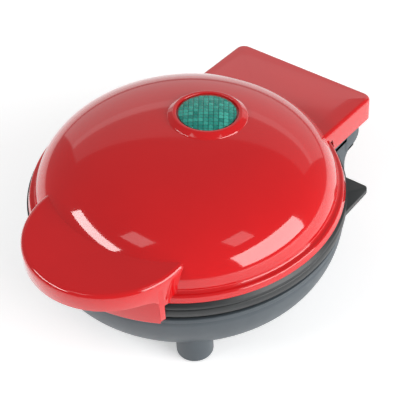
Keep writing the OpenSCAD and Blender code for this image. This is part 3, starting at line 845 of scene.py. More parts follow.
@dataclass
class Dome:
    """The red dome with its rolled rim and the raised collar of its lens.

    Args:
        rim_r: Outer radius of the rim.
        dome_r: Radius of the dome at its foot.
        dome_h: Height of the dome.
        power: Fullness of the dome's curve.
        flange_h: Height of the rolled rim.
        wall: Thickness of the wall.
        lens_y: Distance of the lens from the axis.
        lens_tilt: Lean of the lens, in degrees.
        hole_r: Radius of the hole under the collar.
        still_r: Radius of the circle where the rows round the hole give way to level ones.
        bead: Rounding of the rim's upper edge.
        edge: Rounding of its lower edge.
        fillet: Radius of the hollow between the dome and the rim.
        sink: How far that hollow starts inside the dome.
        draft: How much narrower the rim is at its top.
        inner_foot: Height at which the inner wall ends.
        columns: How many pieces the turn is made of.
        fine: Points of the dome's curve before they are spaced evenly.
        slope_rows: Points of it after that.
        collar_line: Radius, height and rounding of each corner of the collar's section.
    """

    rim_r: float = 63.5
    dome_r: float = 60.5
    dome_h: float = 27.1
    power: float = 2.42
    flange_h: float = 2.8
    wall: float = 2.2
    lens_y: float = 16.1
    lens_tilt: float = 4.0
    hole_r: float = 13.4
    still_r: float = 34.0
    bead: float = 1.0
    edge: float = 0.3
    fillet: float = 1.3
    sink: float = 0.3
    draft: float = 0.6
    inner_foot: float = 0.2
    columns: int = 288
    fine: int = 2000
    slope_rows: int = 30
    collar_line: tuple[tuple[float, float, float], ...] = (
        (10.6, -3.5, 0), (14.2, -3.5, 0), (16.6, -1.5, 0), (15.9, -0.25, 1.2),
        (13.8, 1.3, 0.7), (12.45, 1.3, 0.4), (12.3, 0.0, 0), (10.6, 0.0, 0))

    def height(self, r: np.ndarray | float, inner: float = 0.0) -> np.ndarray | float:
        """Height of the dome at a radius: a superellipse, inner millimetres below its surface."""
        a, b = self.dome_r - inner, self.dome_h - inner
        return b * np.maximum(1 - (r / a) ** self.power, 0) ** (1 / self.power)

    def slope_line(self, inner: float, foot: float) -> np.ndarray:
        """The superellipse from the still circle down to a height.

        Args:
            inner: How far the line lies below the dome's surface.
            foot: The height where it ends.

        Returns:
            The radius and height of each point.
        """
        a, b = self.dome_r - inner, self.dome_h - inner
        t = np.radians(np.linspace(0, 90, self.fine))
        line = np.stack([a * np.cos(t) ** (2 / self.power), b * np.sin(t) ** (2 / self.power)], -1)
        line = line[(line[:, 0] >= self.still_r) & (line[:, 1] >= foot)][::-1]
        return resample(line, self.slope_rows)

    def rim_line(self) -> np.ndarray:
        """The fillet, the bead, the band and the underside of the rim, as arcs joined in turn.

        Returns:
            The radius and height of each point.
        """
        bead, fillet, edge = self.bead, self.fillet, self.edge
        return np.vstack([
            arc(self.dome_r + fillet - self.sink, self.flange_h + fillet, fillet, 188, 270, 6),
            arc(self.rim_r - self.draft - bead, self.flange_h - bead, bead, 88, 0, 7),
            arc(self.rim_r - edge, edge, edge, 0, -90, 3),
            [[self.dome_r - self.wall, 0.0]],
        ])

    def cap_rows(self, inner: float, rows: int = 14) -> np.ndarray:
        """Rows from the lens hole out to the still circle.

        Each point's plan place lies on the straight line from the hole's edge to the circle at the
        same angle, and its height is the dome's.

        Args:
            inner: How far the rows lie below the dome's surface.
            rows: How many there are with the still circle, which is left out.

        Returns:
            The points, row by row.
        """
        t = np.linspace(0, TAU, self.columns, endpoint=False)
        way = np.stack([np.cos(t), np.sin(t)], -1)
        hole = way * self.hole_r + np.array([0.0, self.lens_y])
        s = np.linspace(0, 1, rows)[:-1, None, None]
        plan = (1 - s) * hole + s * way * self.still_r
        z = self.height(np.linalg.norm(plan, axis=-1), inner)
        return np.concatenate([plan, z[..., None]], -1)

    def turned(self, line: np.ndarray) -> np.ndarray:
        """A profile turned about the axis, with one row for each of its points.

        Args:
            line: The radius and height of each point.

        Returns:
            The points, row by row.
        """
        t = np.linspace(0, TAU, self.columns, endpoint=False)
        r = line[:, :1]
        return np.stack([r * np.cos(t), r * np.sin(t),
                         np.broadcast_to(line[:, 1:], (len(line), len(t)))], -1)

    def shell(self) -> Shape:
        """The whole wall: out over the dome, round the rim and back up inside.

        Returns:
            The closed wall round the lens's hole.
        """
        slope = self.slope_line(0, self.flange_h + self.fillet)
        outer = self.turned(np.vstack([slope, self.rim_line()]))
        inner = self.turned(self.slope_line(self.wall, self.inner_foot)[::-1])
        rows = [self.cap_rows(0), outer, inner, self.cap_rows(self.wall)[::-1]]
        return grid(np.concatenate(rows), wrap_rows=True, wrap_columns=True)

    def at_lens(self, shape: Shape) -> Shape:
        """A shape about the lens's own axis, put in its place on the dome."""
        return shape.leaned(self.lens_tilt).moved(y=self.lens_y, z=float(self.height(self.lens_y)))

    def collar(self) -> Shape:
        """The ring round the lens: a rounded top between a broad slope and an upright wall."""
        return self.at_lens(revolve(rounded(self.collar_line), segments=144))


@dataclass
class Lens:
    """The green lens: a smooth clear dome over a sheet of small square prisms.

    Args:
        radius: Radius of the lens.
        crown: Height of its top above the collar's floor.
        barrel: Height where the crown starts.
        edge: Rounding of the crown's edge.
        foot: Height of the skin's lower edge.
        side: Thickness of the skin at its side.
        drop: Thickness of the skin under the crown.
        pitch: Distance between the prisms.
        turn: Direction of their rows, in degrees.
        margin: Gap between the sheet of prisms and the lens's outline.
        sheet_z: Height of the prisms' ridges at the sheet's outline.
        sheet_rise: How much higher they are in the middle.
        prism_h: Twice the height of a prism over its groove.
        sheet_low: Height of the sheet's underside.
        fine: Points of the sheet along each side of its grid.
    """

    radius: float = 11.8
    crown: float = 2.4
    barrel: float = 0.95
    edge: float = 0.25
    foot: float = 0.06
    side: float = 0.22
    drop: float = 0.15
    pitch: float = PRISM_PITCH
    turn: float = PRISM_TURN
    margin: float = 0.3
    sheet_z: float = 0.75
    sheet_rise: float = 1.2
    prism_h: float = 0.6
    sheet_low: float = -0.6
    fine: int = 221

    def skin(self) -> Shape:
        """The clear dome: a crown that falls with the square of the radius, over a short barrel.

        Returns:
            The thin skin about the lens's own axis.
        """
        r = np.linspace(0, 1, 20)
        swell = (self.crown - self.barrel) * (1 - r ** 2)
        inner_r = self.radius - self.side
        top = np.stack([r * (self.radius - self.edge), self.barrel + swell], -1)
        under = np.stack([r * inner_r, self.barrel - self.drop + swell], -1)
        rim = arc(self.radius - self.edge, self.barrel - self.edge, self.edge, 90, 0, 4)
        side = [[self.radius, self.foot], [inner_r, self.foot]]
        line = np.vstack([top, rim, side, under[::-1]])
        return revolve(line, segments=96, closed=False)

    def prisms(self) -> Shape:
        """A thin sheet whose top rises in a square pyramid over each cell of a grid.

        The grid's points are a disc drawn from a square, and each point's height is the crown's
        less the larger of its two distances from the middle of its cell.

        Returns:
            The sheet about the lens's own axis.
        """
        line = np.linspace(-1, 1, self.fine)
        s, t = np.meshgrid(line, line, indexing="ij")
        r = self.radius - self.margin
        x, y = s * np.sqrt(1 - t ** 2 / 2) * r, t * np.sqrt(1 - s ** 2 / 2) * r
        a = math.radians(self.turn)
        u, v = x * math.cos(a) + y * math.sin(a), y * math.cos(a) - x * math.sin(a)
        far = np.maximum(np.abs((u / self.pitch) % 1 - 0.5), np.abs((v / self.pitch) % 1 - 0.5))
        crown = self.sheet_z + self.sheet_rise * (1 - (x ** 2 + y ** 2) / r ** 2)
        top = crown - self.prism_h * far
        return sheet(x, y, top, np.full_like(top, self.sheet_low))


def sheet(x: np.ndarray, y: np.ndarray, top: np.ndarray, low: np.ndarray) -> Shape:
    """A closed slab between two heights over one grid of places.

    Args:
        x: The places' first coordinate, as rows by columns.
        y: Their second one.
        top: Height of the slab's top at each place.
        low: Height of its underside.

    Returns:
        The closed slab.
    """
    upper = grid(np.stack([x, y, top], -1))
    lower = grid(np.stack([x, y, low], -1))
    rows, columns = x.shape
    number = np.arange(rows * columns).reshape(rows, columns)
    rim = np.concatenate([number[0], number[1:, -1], number[-1, -2::-1], number[-2:0:-1, 0]])
    after = np.roll(rim, -1)
    shift = rows * columns
    both = upper + lower
    both.faces += np.stack([rim, after, after + shift, rim + shift], -1).tolist()
    return both


@dataclass
class Handle:
    """The round grip at the front of the lid, open below, with a cut for the fingers.

    Args:
        radius: Radius of its outline.
        centre_y: Distance of the outline's centre from the dome's axis.
        top: Height of its flat top.
        wall: Thickness of its walls.
        edge: Rounding of its top edge.
        cut_z: Height of the finger cut's top.
        cut_x: Half the width of the finger cut.
        skirt: Depth of the side pieces below the lid's bottom edge.
        arch: Radius of the quarter circles at the cut's two ends.
        reach: How far the wall goes round from the front to each side, in degrees.
        seat_r: Radius of the arc inside the dome where the top starts.
        seat_x: Half the width of that arc.
        columns: Points of the wall from one side to the other.
        inner_edge: Rounding between the top and the wall, inside.
        side_lap: How far the side pieces rise over the cut's top.
        side_edge: Rounding of the side pieces.
        side_last: Where a side piece ends, in degrees from the front.
        upper_first: Where the rest of the side wall starts, in degrees.
        upper_low: Height of its lower edge.
    """

    radius: float = 33.6
    centre_y: float = 47.3
    top: float = 13.7
    wall: float = 2.2
    edge: float = 2.0
    cut_z: float = 5.8
    cut_x: float = 31.4
    skirt: float = 6.8
    arch: float = 3.0
    reach: float = 97.0
    seat_r: float = 54.8
    seat_x: float = 31.6
    columns: int = 181
    inner_edge: float = 1.0
    side_lap: float = 4.0
    side_edge: float = 0.3
    side_last: float = 74.0
    upper_first: float = 70.0
    upper_low: float = 0.6

    def lower_edge(self, x: np.ndarray) -> np.ndarray:
        """Height of the wall's lower edge: level, with a quarter circle down at each end.

        Args:
            x: Places across the handle.

        Returns:
            The height at each of them.
        """
        past = np.clip(np.abs(x) - (self.cut_x - self.arch), 0, self.arch)
        drop = self.arch - np.sqrt(self.arch ** 2 - past ** 2)
        return np.where(np.abs(x) < self.cut_x, self.cut_z - drop, self.cut_z - self.arch)

    def shell(self) -> Shape:
        """Top, rounded edge, wall and underside, from one side of the dome to the other.

        Each column runs out from the dome's wall, over the edge, down to the lower edge and back
        inside, in the direction of one angle about the outline's centre.

        Returns:
            The closed wall.
        """
        a = np.radians(np.linspace(-self.reach, self.reach, self.columns))
        out = np.stack([np.sin(a), -np.cos(a)], -1)
        centre = np.array([0.0, -self.centre_y])
        seat_angle = np.linspace(-1, 1, len(a)) * math.asin(self.seat_x / self.seat_r)
        seat = self.seat_r * np.stack([np.sin(seat_angle), -np.cos(seat_angle)], -1)
        low = self.lower_edge((centre + out * self.radius)[:, 0])
        rows: list[np.ndarray] = []
        steps = np.linspace(0, 1, 7)[:-1]
        for s in steps:
            plan = (1 - s) * seat + s * (centre + out * (self.radius - self.edge))
            rows.append(np.column_stack([plan, np.full(len(a), self.top)]))
        for r, z in arc(self.radius - self.edge, self.top - self.edge, self.edge, 90, 0, 8):
            rows.append(np.column_stack([centre + out * r, np.full(len(a), z)]))
        for r, rise in ((self.radius, 0.35), (self.radius - 0.1, 0.1), (self.radius - 0.35, 0.0),
                        (self.radius - self.wall + 0.3, 0.0), (self.radius - self.wall, 0.3)):
            rows.append(np.column_stack([centre + out * r, low + rise]))
        roof, turn_r = self.top - self.wall, self.radius - self.wall - self.inner_edge
        for r, z in arc(turn_r, roof - self.inner_edge, self.inner_edge, 0, 90, 4):
            rows.append(np.column_stack([centre + out * r, np.full(len(a), z)]))
        for s in steps[::-1]:
            plan = (1 - s) * seat + s * (centre + out * turn_r)
            rows.append(np.column_stack([plan, np.full(len(a), roof)]))
        return walled(rows)

    def crescent(self, first: float, last: float, steps: int) -> np.ndarray:
        """The plan between the outline and the straight side of the cut.

        Args:
            first: Where its arc starts, in degrees from the front.
            last: Where it ends.
            steps: How many pieces the arc has.

        Returns:
            The plan's points.
        """
        outer = arc(0, 0, self.radius, first - 90, last - 90, steps) + [0.0, -self.centre_y]
        inner = np.array([[self.cut_x, outer[-1, 1]], [self.cut_x, outer[0, 1]]])
        return np.vstack([outer, inner])

    def side_piece(self) -> Shape:
        """The wall at one end of the finger cut, which starts a degree past the cut's side.

        Returns:
            The piece on the right.
        """
        first = math.degrees(math.asin(self.cut_x / self.radius)) + 1.0
        plan = self.crescent(first, self.side_last, 12)
        return prism(plan, -self.skirt, self.cut_z + self.side_lap, Along.Z, self.side_edge)

    def upper_side(self) -> Shape:
        """The rest of the side wall, over the rim, from the side piece back into the dome."""
        plan = self.crescent(self.upper_first, self.reach, 16)
        return prism(plan, self.upper_low, self.cut_z + self.side_lap, Along.Z)


@dataclass
class Lip:
    """The apron that hangs in front of the plates behind the finger cut.

    Args:
        inner_r: Radius of its back.
        thick: Its thickness.
        half_width: Half its width across.
        bottom: Height of its lower edge.
        top: Height of its upper edge.
        root_r: Radius of the back of its upper part, inside the rim.
        root_z: Height of that part's underside.
    """

    inner_r: float = 65.0
    thick: float = 1.8
    half_width: float = 31.6
    bottom: float = -8.0
    top: float = 3.4
    root_r: float = 62.0
    root_z: float = 0.2

    def shape(self) -> Shape:
        """A strip of a ring, with its edges rounded, cut off at both sides.

        Returns:
            The closed strip.
        """
        outer = self.inner_r + self.thick
        half = math.degrees(math.asin(self.half_width / outer))
        section = rounded([
            (self.inner_r, self.bottom, 0.3), (outer, self.bottom, 0.6), (outer, self.top, 0.5),
            (self.root_r, self.top, 0), (self.root_r, self.root_z, 0),
            (self.inner_r, self.root_z, 0)], steps=4)
        return revolve(section, segments=60, span=(270 - half, 270 + half))


@dataclass
class Cover:
    """The flat sloping cover over the hinge, open below.

    Args:
        half_width: Half its width.
        rear_y: Distance of its rear face from the dome's axis.
        top: Height of its top where it leaves the dome.
        deep: Height of its walls.
        tilt: Its slope down to the rear, in degrees.
        corner: Radius of its rear corners.
        edge: Rounding of its top edges.
        wall: Thickness of its walls.
        start_y: Where its sides start, inside the dome.
        leave_y: Where its top leaves the dome.
        tighten: How much of an inset the corners' radius loses.
        ring_r: Radius inside which the walls lie over the black ring.
        ring_z: Height of the walls' lower edge there.
    """

    half_width: float = 34.0
    rear_y: float = 87.2
    top: float = 5.7
    deep: float = 11.34
    tilt: float = 5.0
    corner: float = 4.0
    edge: float = 1.8
    wall: float = 2.0
    start_y: float = 47.5
    leave_y: float = 55.5
    tighten: float = 0.6
    ring_r: float = 65.3
    ring_z: float = 0.4

    def outline(self, shrink: float) -> np.ndarray:
        """The plan of the walls, from the front left round the rear to the front right.

        Args:
            shrink: How far it lies inside the outer faces.

        Returns:
            The plan's points.
        """
        w, rear = self.half_width - shrink, self.rear_y - shrink
        c = self.corner - shrink * self.tighten
        side = np.linspace(self.start_y, self.rear_y - self.corner, 24)[:, None]
        left = np.hstack([np.full_like(side, -w), side])
        across = np.linspace(-w + c, w - c, 24)[1:-1, None]
        rear_line = np.hstack([across, np.full_like(across, rear)])
        return np.vstack([left, arc(-w + c, rear - c, c, 180, 90, 8)[1:], rear_line,
                          arc(w - c, rear - c, c, 90, 0, 8)[:-1],
                          (left * [-1, 1])[::-1]])

    def roof(self, plan: np.ndarray) -> np.ndarray:
        """Height of the sloping top over each place."""
        return self.top - math.tan(math.radians(self.tilt)) * (plan[:, 1] - self.leave_y)

    def shell(self) -> Shape:
        """Top, rounded edges, walls and underside.

        Each column runs from the middle line out to the wall, over the edge, down to the lower
        edge, across it and back up inside. Over the black ring the walls stop at the rim.

        Returns:
            The closed wall.
        """
        outside = self.outline(0)
        spine = np.column_stack([np.zeros(len(outside)),
                                 np.minimum(outside[:, 1], self.rear_y - self.half_width)])
        rows: list[np.ndarray] = []
        for s in np.linspace(0, 1, 6)[:-1]:
            plan = (1 - s) * spine + s * self.outline(self.edge)
            rows.append(np.column_stack([plan, self.roof(plan)]))
        for depth, fall in arc(self.edge, self.edge, self.edge, 270, 180, 6):
            plan = self.outline(depth)
            rows.append(np.column_stack([plan, self.roof(outside) - fall]))
        near = np.linalg.norm(outside, axis=1) < self.ring_r
        bottom = np.where(near, self.ring_z, self.roof(outside) - self.deep)
        for depth, rise in ((0.0, 0.4), (0.4, 0.0), (self.wall - 0.3, 0.0), (self.wall, 0.3)):
            rows.append(np.column_stack([self.outline(depth), bottom + rise]))
        inner = self.outline(self.wall)
        rows.append(np.column_stack([inner, self.roof(outside) - self.wall]))
        for s in np.linspace(1, 0, 6)[1:]:
            plan = (1 - s) * spine + s * inner
            rows.append(np.column_stack([plan, self.roof(plan) - self.wall]))
        return walled(rows)


@dataclass
class HingeEars:
    """The two ears that hang from the cover's roof round the hinge pins.

    Args:
        axis_y: Distance of the hinge's axis from the dome's axis.
        axis_z: Height of that axis.
        radius: Outer radius of an ear.
        bore: Radius of its hole.
        at_x: Distance of an ear from the middle.
        thick: Its thickness.
        rise: How far it reaches up from the axis, into the roof.
    """

    axis_y: float = 75.6
    axis_z: float = -12.6
    radius: float = 4.5
    bore: float = 1.86
    at_x: float = 23.3
    thick: float = 4.0
    rise: float = 15.0

    def ear(self) -> Shape:
        """One ear: a closed band between the hole and an outline that runs up into the roof.

        At each angle the outline is a half circle below and a box above.

        Returns:
            The ear on the right.
        """
        t = np.linspace(0, TAU, 72, endpoint=False)
        c, s = np.cos(t), np.sin(t)
        box = np.minimum(self.radius / np.maximum(np.abs(c), TINY),
                         self.rise / np.maximum(np.abs(s), TINY))
        far = np.where(s > 0, box, self.radius)
        low, high = self.at_x - self.thick / 2, self.at_x + self.thick / 2
        rows = [(self.bore, low), (far, low), (far, high), (self.bore, high)]
        points = np.stack([np.stack([np.full_like(t, x), self.axis_y + r * c,
                                     self.axis_z + r * s], -1) for r, x in rows])
        return grid(points, wrap_rows=True, wrap_columns=True)


class Lid:
    """The red lid with everything that shows on it."""

    def __init__(self) -> None:
        """Takes the default sizes."""
        self.dome = Dome()
        self.lens = Lens()
        self.handle = Handle()
        self.lip = Lip()
        self.cover = Cover()
        self.ears = HingeEars()

    def build(self, shop: Workshop) -> None:
        """Makes the lid's pieces.

        Args:
            shop: Where they are made.
        """
        red = ("red_gloss", "red_plastic")
        shop.piece("lid_dome", self.dome.shell(), Body.LID, *red, stands_for=("lid_shell",))
        shop.piece("lens_collar", self.dome.collar(), Body.LID, *red)
        side = self.handle.side_piece() + self.handle.upper_side()
        shop.piece("handle_grip", self.handle.shell(), Body.LID, *red)
        shop.piece("handle_sides", side + side.mirrored(), Body.LID, *red)
        shop.piece("front_lip", self.lip.shape(), Body.LID, *red)
        shop.piece("hinge_cover", self.cover.shell(), Body.LID, *red)
        ear = self.ears.ear()
        shop.piece("hinge_ears", ear + ear.mirrored(), Body.LID, *red)
        shop.piece("lens_skin", self.dome.at_lens(self.lens.skin()), Body.LID, "green_skin",
                   "green_lens", stands_for=("indicator_lens",))
        # the prism sheet's finish paints glints and shade onto its cells and grooves
        shop.piece("lens_prisms", self.dome.at_lens(self.lens.prisms()), Body.LID,
                   "green_prisms_painted_glint", "green_lens", crease=20.0)
        shop.fair_copy("upper_ring", Body.LID, "black_satin")


# Base


@dataclass
class Bowl:
    """The grey bowl with its double lip.

    Args:
        rim_r: Radius of the lip.
        bottom_r: Radius of the flat bottom.
        top: Height of the lip.
        deep: Depth of the bowl.
        wall: Thickness of its wall.
        bead: Radius of the lip's two beads.
    """

    rim_r: float = 63.3
    bottom_r: float = 43.3
    top: float = -9.4
    deep: float = 27.0
    wall: float = 2.2
    bead: float = 0.5

    def side(self, shrink: float, count: int) -> np.ndarray:
        """A quarter of an ellipse from the lip down to the flat bottom.

        Args:
            shrink: How far it lies inside the outer face.
            count: How many points it has.

        Returns:
            The radius and height of each point.
        """
        t = np.radians(np.linspace(0, 90, count))
        bottom = self.bottom_r - shrink / 2
        return np.stack([bottom + (self.rim_r - shrink - bottom) * np.cos(t),
                         self.top - (self.deep - shrink) * np.sin(t)], -1)

    def shell(self) -> Shape:
        """The wall from the middle of the bottom, out and up over the lip and back inside.

        Returns:
            The closed wall.
        """
        bead = self.bead
        outer = self.side(0, 40)[::-1]
        outer = outer[outer[:, 1] < self.top - 5 * bead]
        lip = np.vstack([
            [[self.rim_r - bead, self.top - 4.3 * bead]],
            arc(self.rim_r - bead, self.top - 3 * bead, bead, -70, 0, 4),
            arc(self.rim_r - bead, self.top - bead, bead, 0, 90, 4)])
        inner = self.side(self.wall, 24)
        line = np.vstack([[[0, self.top - self.deep]], outer, lip, inner,
                          [[0, self.top - self.deep + self.wall]]])
        return revolve(line, closed=False)


@dataclass
class Feet:
    """The short round feet, each with a recess for its rubber pad.

    Args:
        radius: Radius of a foot.
        floor_z: Height of the table.
        lift: Gap between a foot's own bottom and the table.
        pad_r: Radius of the recess for the pad.
        recess: Depth of that recess.
        lead_in: Gap between the recess's edge and the foot's bottom.
        edge: Rounding of the foot's lower edge.
        front: Place of a front foot.
        rear: Place of a rear foot.
        front_tall: Height of a front foot, up into the bowl's slope.
        rear_tall: Height of a rear foot, up into the neck's underside.
    """

    radius: float = 7.3
    floor_z: float = -40.1
    lift: float = 0.4
    pad_r: float = 5.25
    recess: float = 1.4
    lead_in: float = 0.2
    edge: float = 0.9
    front: tuple[float, float] = (31.62, -39.76)
    rear: tuple[float, float] = (22.0, 60.9)
    front_tall: float = 19.6
    rear_tall: float = 3.7

    def foot(self, tall: float) -> Shape:
        """A cylinder with a rounded lower edge and a recess below.

        Args:
            tall: Its height.

        Returns:
            The foot about its own axis.
        """
        low = self.floor_z + self.lift
        roof, edge = low + self.recess, self.edge
        line = np.vstack([
            [[0, roof], [self.pad_r, roof], [self.pad_r, low + self.lead_in]],
            arc(self.radius - edge, low + edge, edge, -90, 0, 6),
            [[self.radius, low + tall], [0, low + tall]]])
        return revolve(line, segments=64, closed=False)

    def shape(self) -> Shape:
        """All four feet.

        Returns:
            The feet on both sides.
        """
        front = self.foot(self.front_tall).moved(*self.front)
        right = front + self.foot(self.rear_tall).moved(*self.rear)
        return right + right.mirrored()


@dataclass
class Neck:
    """The hinge neck behind the bowl: a solid box with four knuckles and a stop shelf.

    Args:
        half_width: Half its width.
        front_y: Where it starts, inside the bowl.
        rear_y: Distance of its rear face from the dome's axis.
        bottom: Height of its underside.
        axis_y: Distance of the hinge's axis.
        axis_z: Height of that axis.
        knuckle_r: Radius of the knuckles.
        slot_y: Front of the slots between the knuckles.
        bowl_r: Radius of the bowl's lip.
        bowl_top: Height of that lip.
        ear_x: Inner and outer side of the slot for an ear.
        inner_x: Inner side of the inner knuckles.
        chamfer: Size of the box's lower rear edge.
        clear: Gap that keeps the box's top off the knuckles' undersides.
        lip_gap: Gap between the box's top and the height of the bowl's lip.
        top_drop: How far the block behind the lip reaches down into the box.
        edge: Rounding of the box's sides.
        fine_edge: Rounding of the block, the knuckles and the shelf.
        shelf_y: Distance of the shelf's rear edge from the dome's axis.
        shelf_z: Height of the shelf's underside and of its top.
        shelf_x: Half the shelf's width.
    """

    half_width: float = 31.7
    front_y: float = 43.3
    rear_y: float = 69.6
    bottom: float = -36.4
    axis_y: float = 75.6
    axis_z: float = -12.6
    knuckle_r: float = 4.8
    slot_y: float = 70.5
    bowl_r: float = 63.3
    bowl_top: float = -9.4
    ear_x: tuple[float, float] = (21.0, 25.6)
    inner_x: float = 4.0
    chamfer: float = 2.0
    clear: float = 0.02
    lip_gap: float = 0.4
    top_drop: float = 3.0
    edge: float = 0.5
    fine_edge: float = 0.3
    shelf_y: float = 77.6
    shelf_z: tuple[float, float] = (-24.75, -22.95)
    shelf_x: float = 12.0

    def box_outline(self) -> np.ndarray:
        """The side view below the knuckles: a quarter circle out from the rear face to them.

        Returns:
            The y and z of each point.
        """
        dip = self.axis_y - self.rear_y
        under = self.axis_z - self.knuckle_r
        seat, roof = under - self.clear, self.bowl_top - self.lip_gap
        return np.vstack([
            [[self.front_y, self.bottom], [self.rear_y - self.chamfer, self.bottom],
             [self.rear_y, self.bottom + self.chamfer]],
            arc(self.axis_y, under - dip, dip, 180, 90, 12),
            [[self.axis_y, seat], [self.slot_y, seat], [self.slot_y, roof], [self.front_y, roof]]])

    def knuckle_outline(self) -> np.ndarray:
        """The side view of a knuckle: a half round behind a straight block.

        Returns:
            The y and z of each point.
        """
        return np.vstack([
            [[self.slot_y - 1, self.axis_z - self.knuckle_r]],
            arc(self.axis_y, self.axis_z, self.knuckle_r, -90, 90, 20),
            [[self.slot_y - 1, self.axis_z + self.knuckle_r]]])

    def shape(self) -> Shape:
        """The box, the block behind the bowl's lip, the knuckles and the shelf.

        Returns:
            All of them as one shape.
        """
        w, fine = self.half_width, self.fine_edge
        half = math.degrees(math.asin(w / self.bowl_r))
        top = np.vstack([arc(0, 0, self.bowl_r, 90 + half, 90 - half, 40),
                         [[w, self.slot_y], [-w, self.slot_y]]])
        whole = prism(self.box_outline(), -w, w, Along.X, self.edge)
        whole = whole + prism(top, self.bowl_top - self.top_drop, self.axis_z + self.knuckle_r,
                              Along.Z, fine)
        for low, high in ((self.inner_x, self.ear_x[0]), (self.ear_x[1], w)):
            block = prism(self.knuckle_outline(), low, high, Along.X, fine)
            whole = whole + block + block.mirrored()
        root, (under, over) = self.rear_y - 1, self.shelf_z
        shelf = rounded([(root, over, 0), (root, under, 0), (self.shelf_y, under, 0.2),
                         (self.shelf_y, over, 0.4)], steps=3)
        return whole + prism(shelf, -self.shelf_x, self.shelf_x, Along.X, fine)


class Base:
    """The grey base with everything that shows on it."""

    def __init__(self) -> None:
        """Takes the default sizes."""
        self.bowl = Bowl()
        self.feet = Feet()
        self.neck = Neck()

    def build(self, shop: Workshop) -> None:
        """Makes the base's pieces.

        Args:
            shop: Where they are made.
        """
        grey = ("grey_satin", "grey_plastic")
        shop.piece("base_bowl", self.bowl.shell(), Body.BASE, *grey, stands_for=("base_shell",))
        shop.piece("base_feet", self.feet.shape(), Body.BASE, *grey)
        shop.piece("hinge_neck", self.neck.shape(), Body.BASE, *grey)
        shop.fair_copy("lower_ring", Body.BASE, "black_satin")
        shop.fair_copy("foot_pads", Body.BASE, "black_rubber")
        shop.fair_copy("cord_grommet", Body.BASE, "black_rubber")


# Cooking plates


def rib(path: np.ndarray, radius: float) -> Shape:
    """A thin round rib along a line that lies on a mould's floor.

    At each point of the line the ring of points stands square to the line's direction there.

    Args:
        path: Points of x, y and z.
        radius: Radius of the rib.

    Returns:
        The closed rib.
    """
    ahead = np.gradient(path, axis=0)
    ahead /= np.linalg.norm(ahead, axis=1, keepdims=True)
    across = np.cross(ahead, [0.0, 0.0, 1.0])
    across /= np.linalg.norm(across, axis=1, keepdims=True)
    over = np.cross(across, ahead)
    t = np.linspace(0, TAU, RIB_SIDES, endpoint=False)[None, :, None]
    rings = path[:, None] + radius * (np.cos(t) * across[:, None] + np.sin(t) * over[:, None])
    return capped(grid(rings, wrap_columns=True), RIB_SIDES)


@dataclass
class FishRelief:
    """The scales, gill, eye and tail rays in a plate's hollow, with the cooking face at z = 0.

    Args:
        centre_x: Place of the body's middle.
        half_length: Half the length of the body.
        half_width: Half its width.
        deep: Depth of the hollow in its middle.
        tail_z: Height of the tail's floor.
        fin_z: Height of the fins' floor.
        radius: Radius of every rib.
        clear: Least gap between a scale and the body's outline.
        gill: Centre, radius and half angle of the gill's arc.
        eye: Centre and radius of the eye.
        rows: How many rows of scales there are.
        first_x: Place of the first row.
        row_step: Distance between the rows.
        scale_step: Distance between the scales of a row.
        scale_r: Radius of a scale.
        scale_turn: Half angle of its arc.
        tail_x: Where the tail's rays start.
        tail_squeeze: Share of their spread that they have there.
        rays: Where each ray ends, as y and x.
    """

    centre_x: float = -8.0
    half_length: float = 29.0
    half_width: float = 22.0
    deep: float = 8.0
    tail_z: float = -3.4
    fin_z: float = -2.6
    radius: float = 0.32
    clear: float = 2.2
    gill: tuple[float, float, float, float] = (-23.0, 0.0, 8.6, 52.0)
    eye: tuple[float, float, float] = (-27.5, 3.6, 1.7)
    rows: int = 6
    first_x: float = -11.0
    row_step: float = 4.2
    scale_step: float = 4.4
    scale_r: float = 2.4
    scale_turn: float = 66.0
    tail_x: float = 20.5
    tail_squeeze: float = 0.4
    rays: tuple[tuple[float, float], ...] = (
        (-12.0, 34.0), (-6.0, 33.0), (0.0, 32.0), (6.0, 33.0), (12.0, 34.0))

    def floor(self, x: np.ndarray, y: np.ndarray) -> np.ndarray:
        """Height of the hollow's floor: a sphere's cap, or the fins' level where that is lower.

        Args:
            x: Places along the fish.
            y: Places across it.

        Returns:
            The height at each place.
        """
        cap = (self.half_length ** 2 + self.deep ** 2) / (2 * self.deep)
        far = (x - self.centre_x) ** 2 + y ** 2
        return np.minimum(cap - self.deep - np.sqrt(np.maximum(cap ** 2 - far, 0)), self.fin_z)

    def inside(self, x: float, y: float) -> bool:
        """True within the body, clear of its outline."""
        bulge = (self.half_length ** 2 - self.half_width ** 2) / (2 * self.half_width)
        return math.hypot(x - self.centre_x, abs(y) + bulge) < bulge + self.half_width - self.clear

    def curve(self, x: float, y: float, r: float, start: float, stop: float) -> Shape:
        """A rib along an arc on the floor."""
        line = arc(x, y, r, start, stop, 8)
        return rib(np.column_stack([line, self.floor(line[:, 0], line[:, 1])]), self.radius)

    def straight(self, a: tuple[float, float], b: tuple[float, float], z: float) -> Shape:
        """A rib along a straight line at one height."""
        return rib(np.linspace([*a, z], [*b, z], 4), self.radius)

    def shape(self) -> Shape:
        """The gill, the eye, rows of scales behind them and the rays of the tail.

        Every other row of scales is moved by half a step, and a scale is left out where it would
        come too near the body's outline.

        Returns:
            All the ribs as one shape.
        """
        *gill, swing = self.gill
        whole = self.curve(*gill, -swing, swing) + self.curve(*self.eye, 0, 350)
        half = self.scale_step / 2
        for row in range(self.rows):
            x = self.first_x + self.row_step * row
            for k in range(-4, 5):
                y = self.scale_step * k + (half if row % 2 else 0.0)
                ends = ((x + self.scale_r, y), (x, y + half), (x, y - half))
                if all(self.inside(*end) for end in ends):
                    whole = whole + self.curve(x, y, self.scale_r, -self.scale_turn,
                                               self.scale_turn)
        for y, x in self.rays:
            start = (self.tail_x, y * self.tail_squeeze)
            whole = whole + self.straight(start, (x, y), self.tail_z)
        return whole


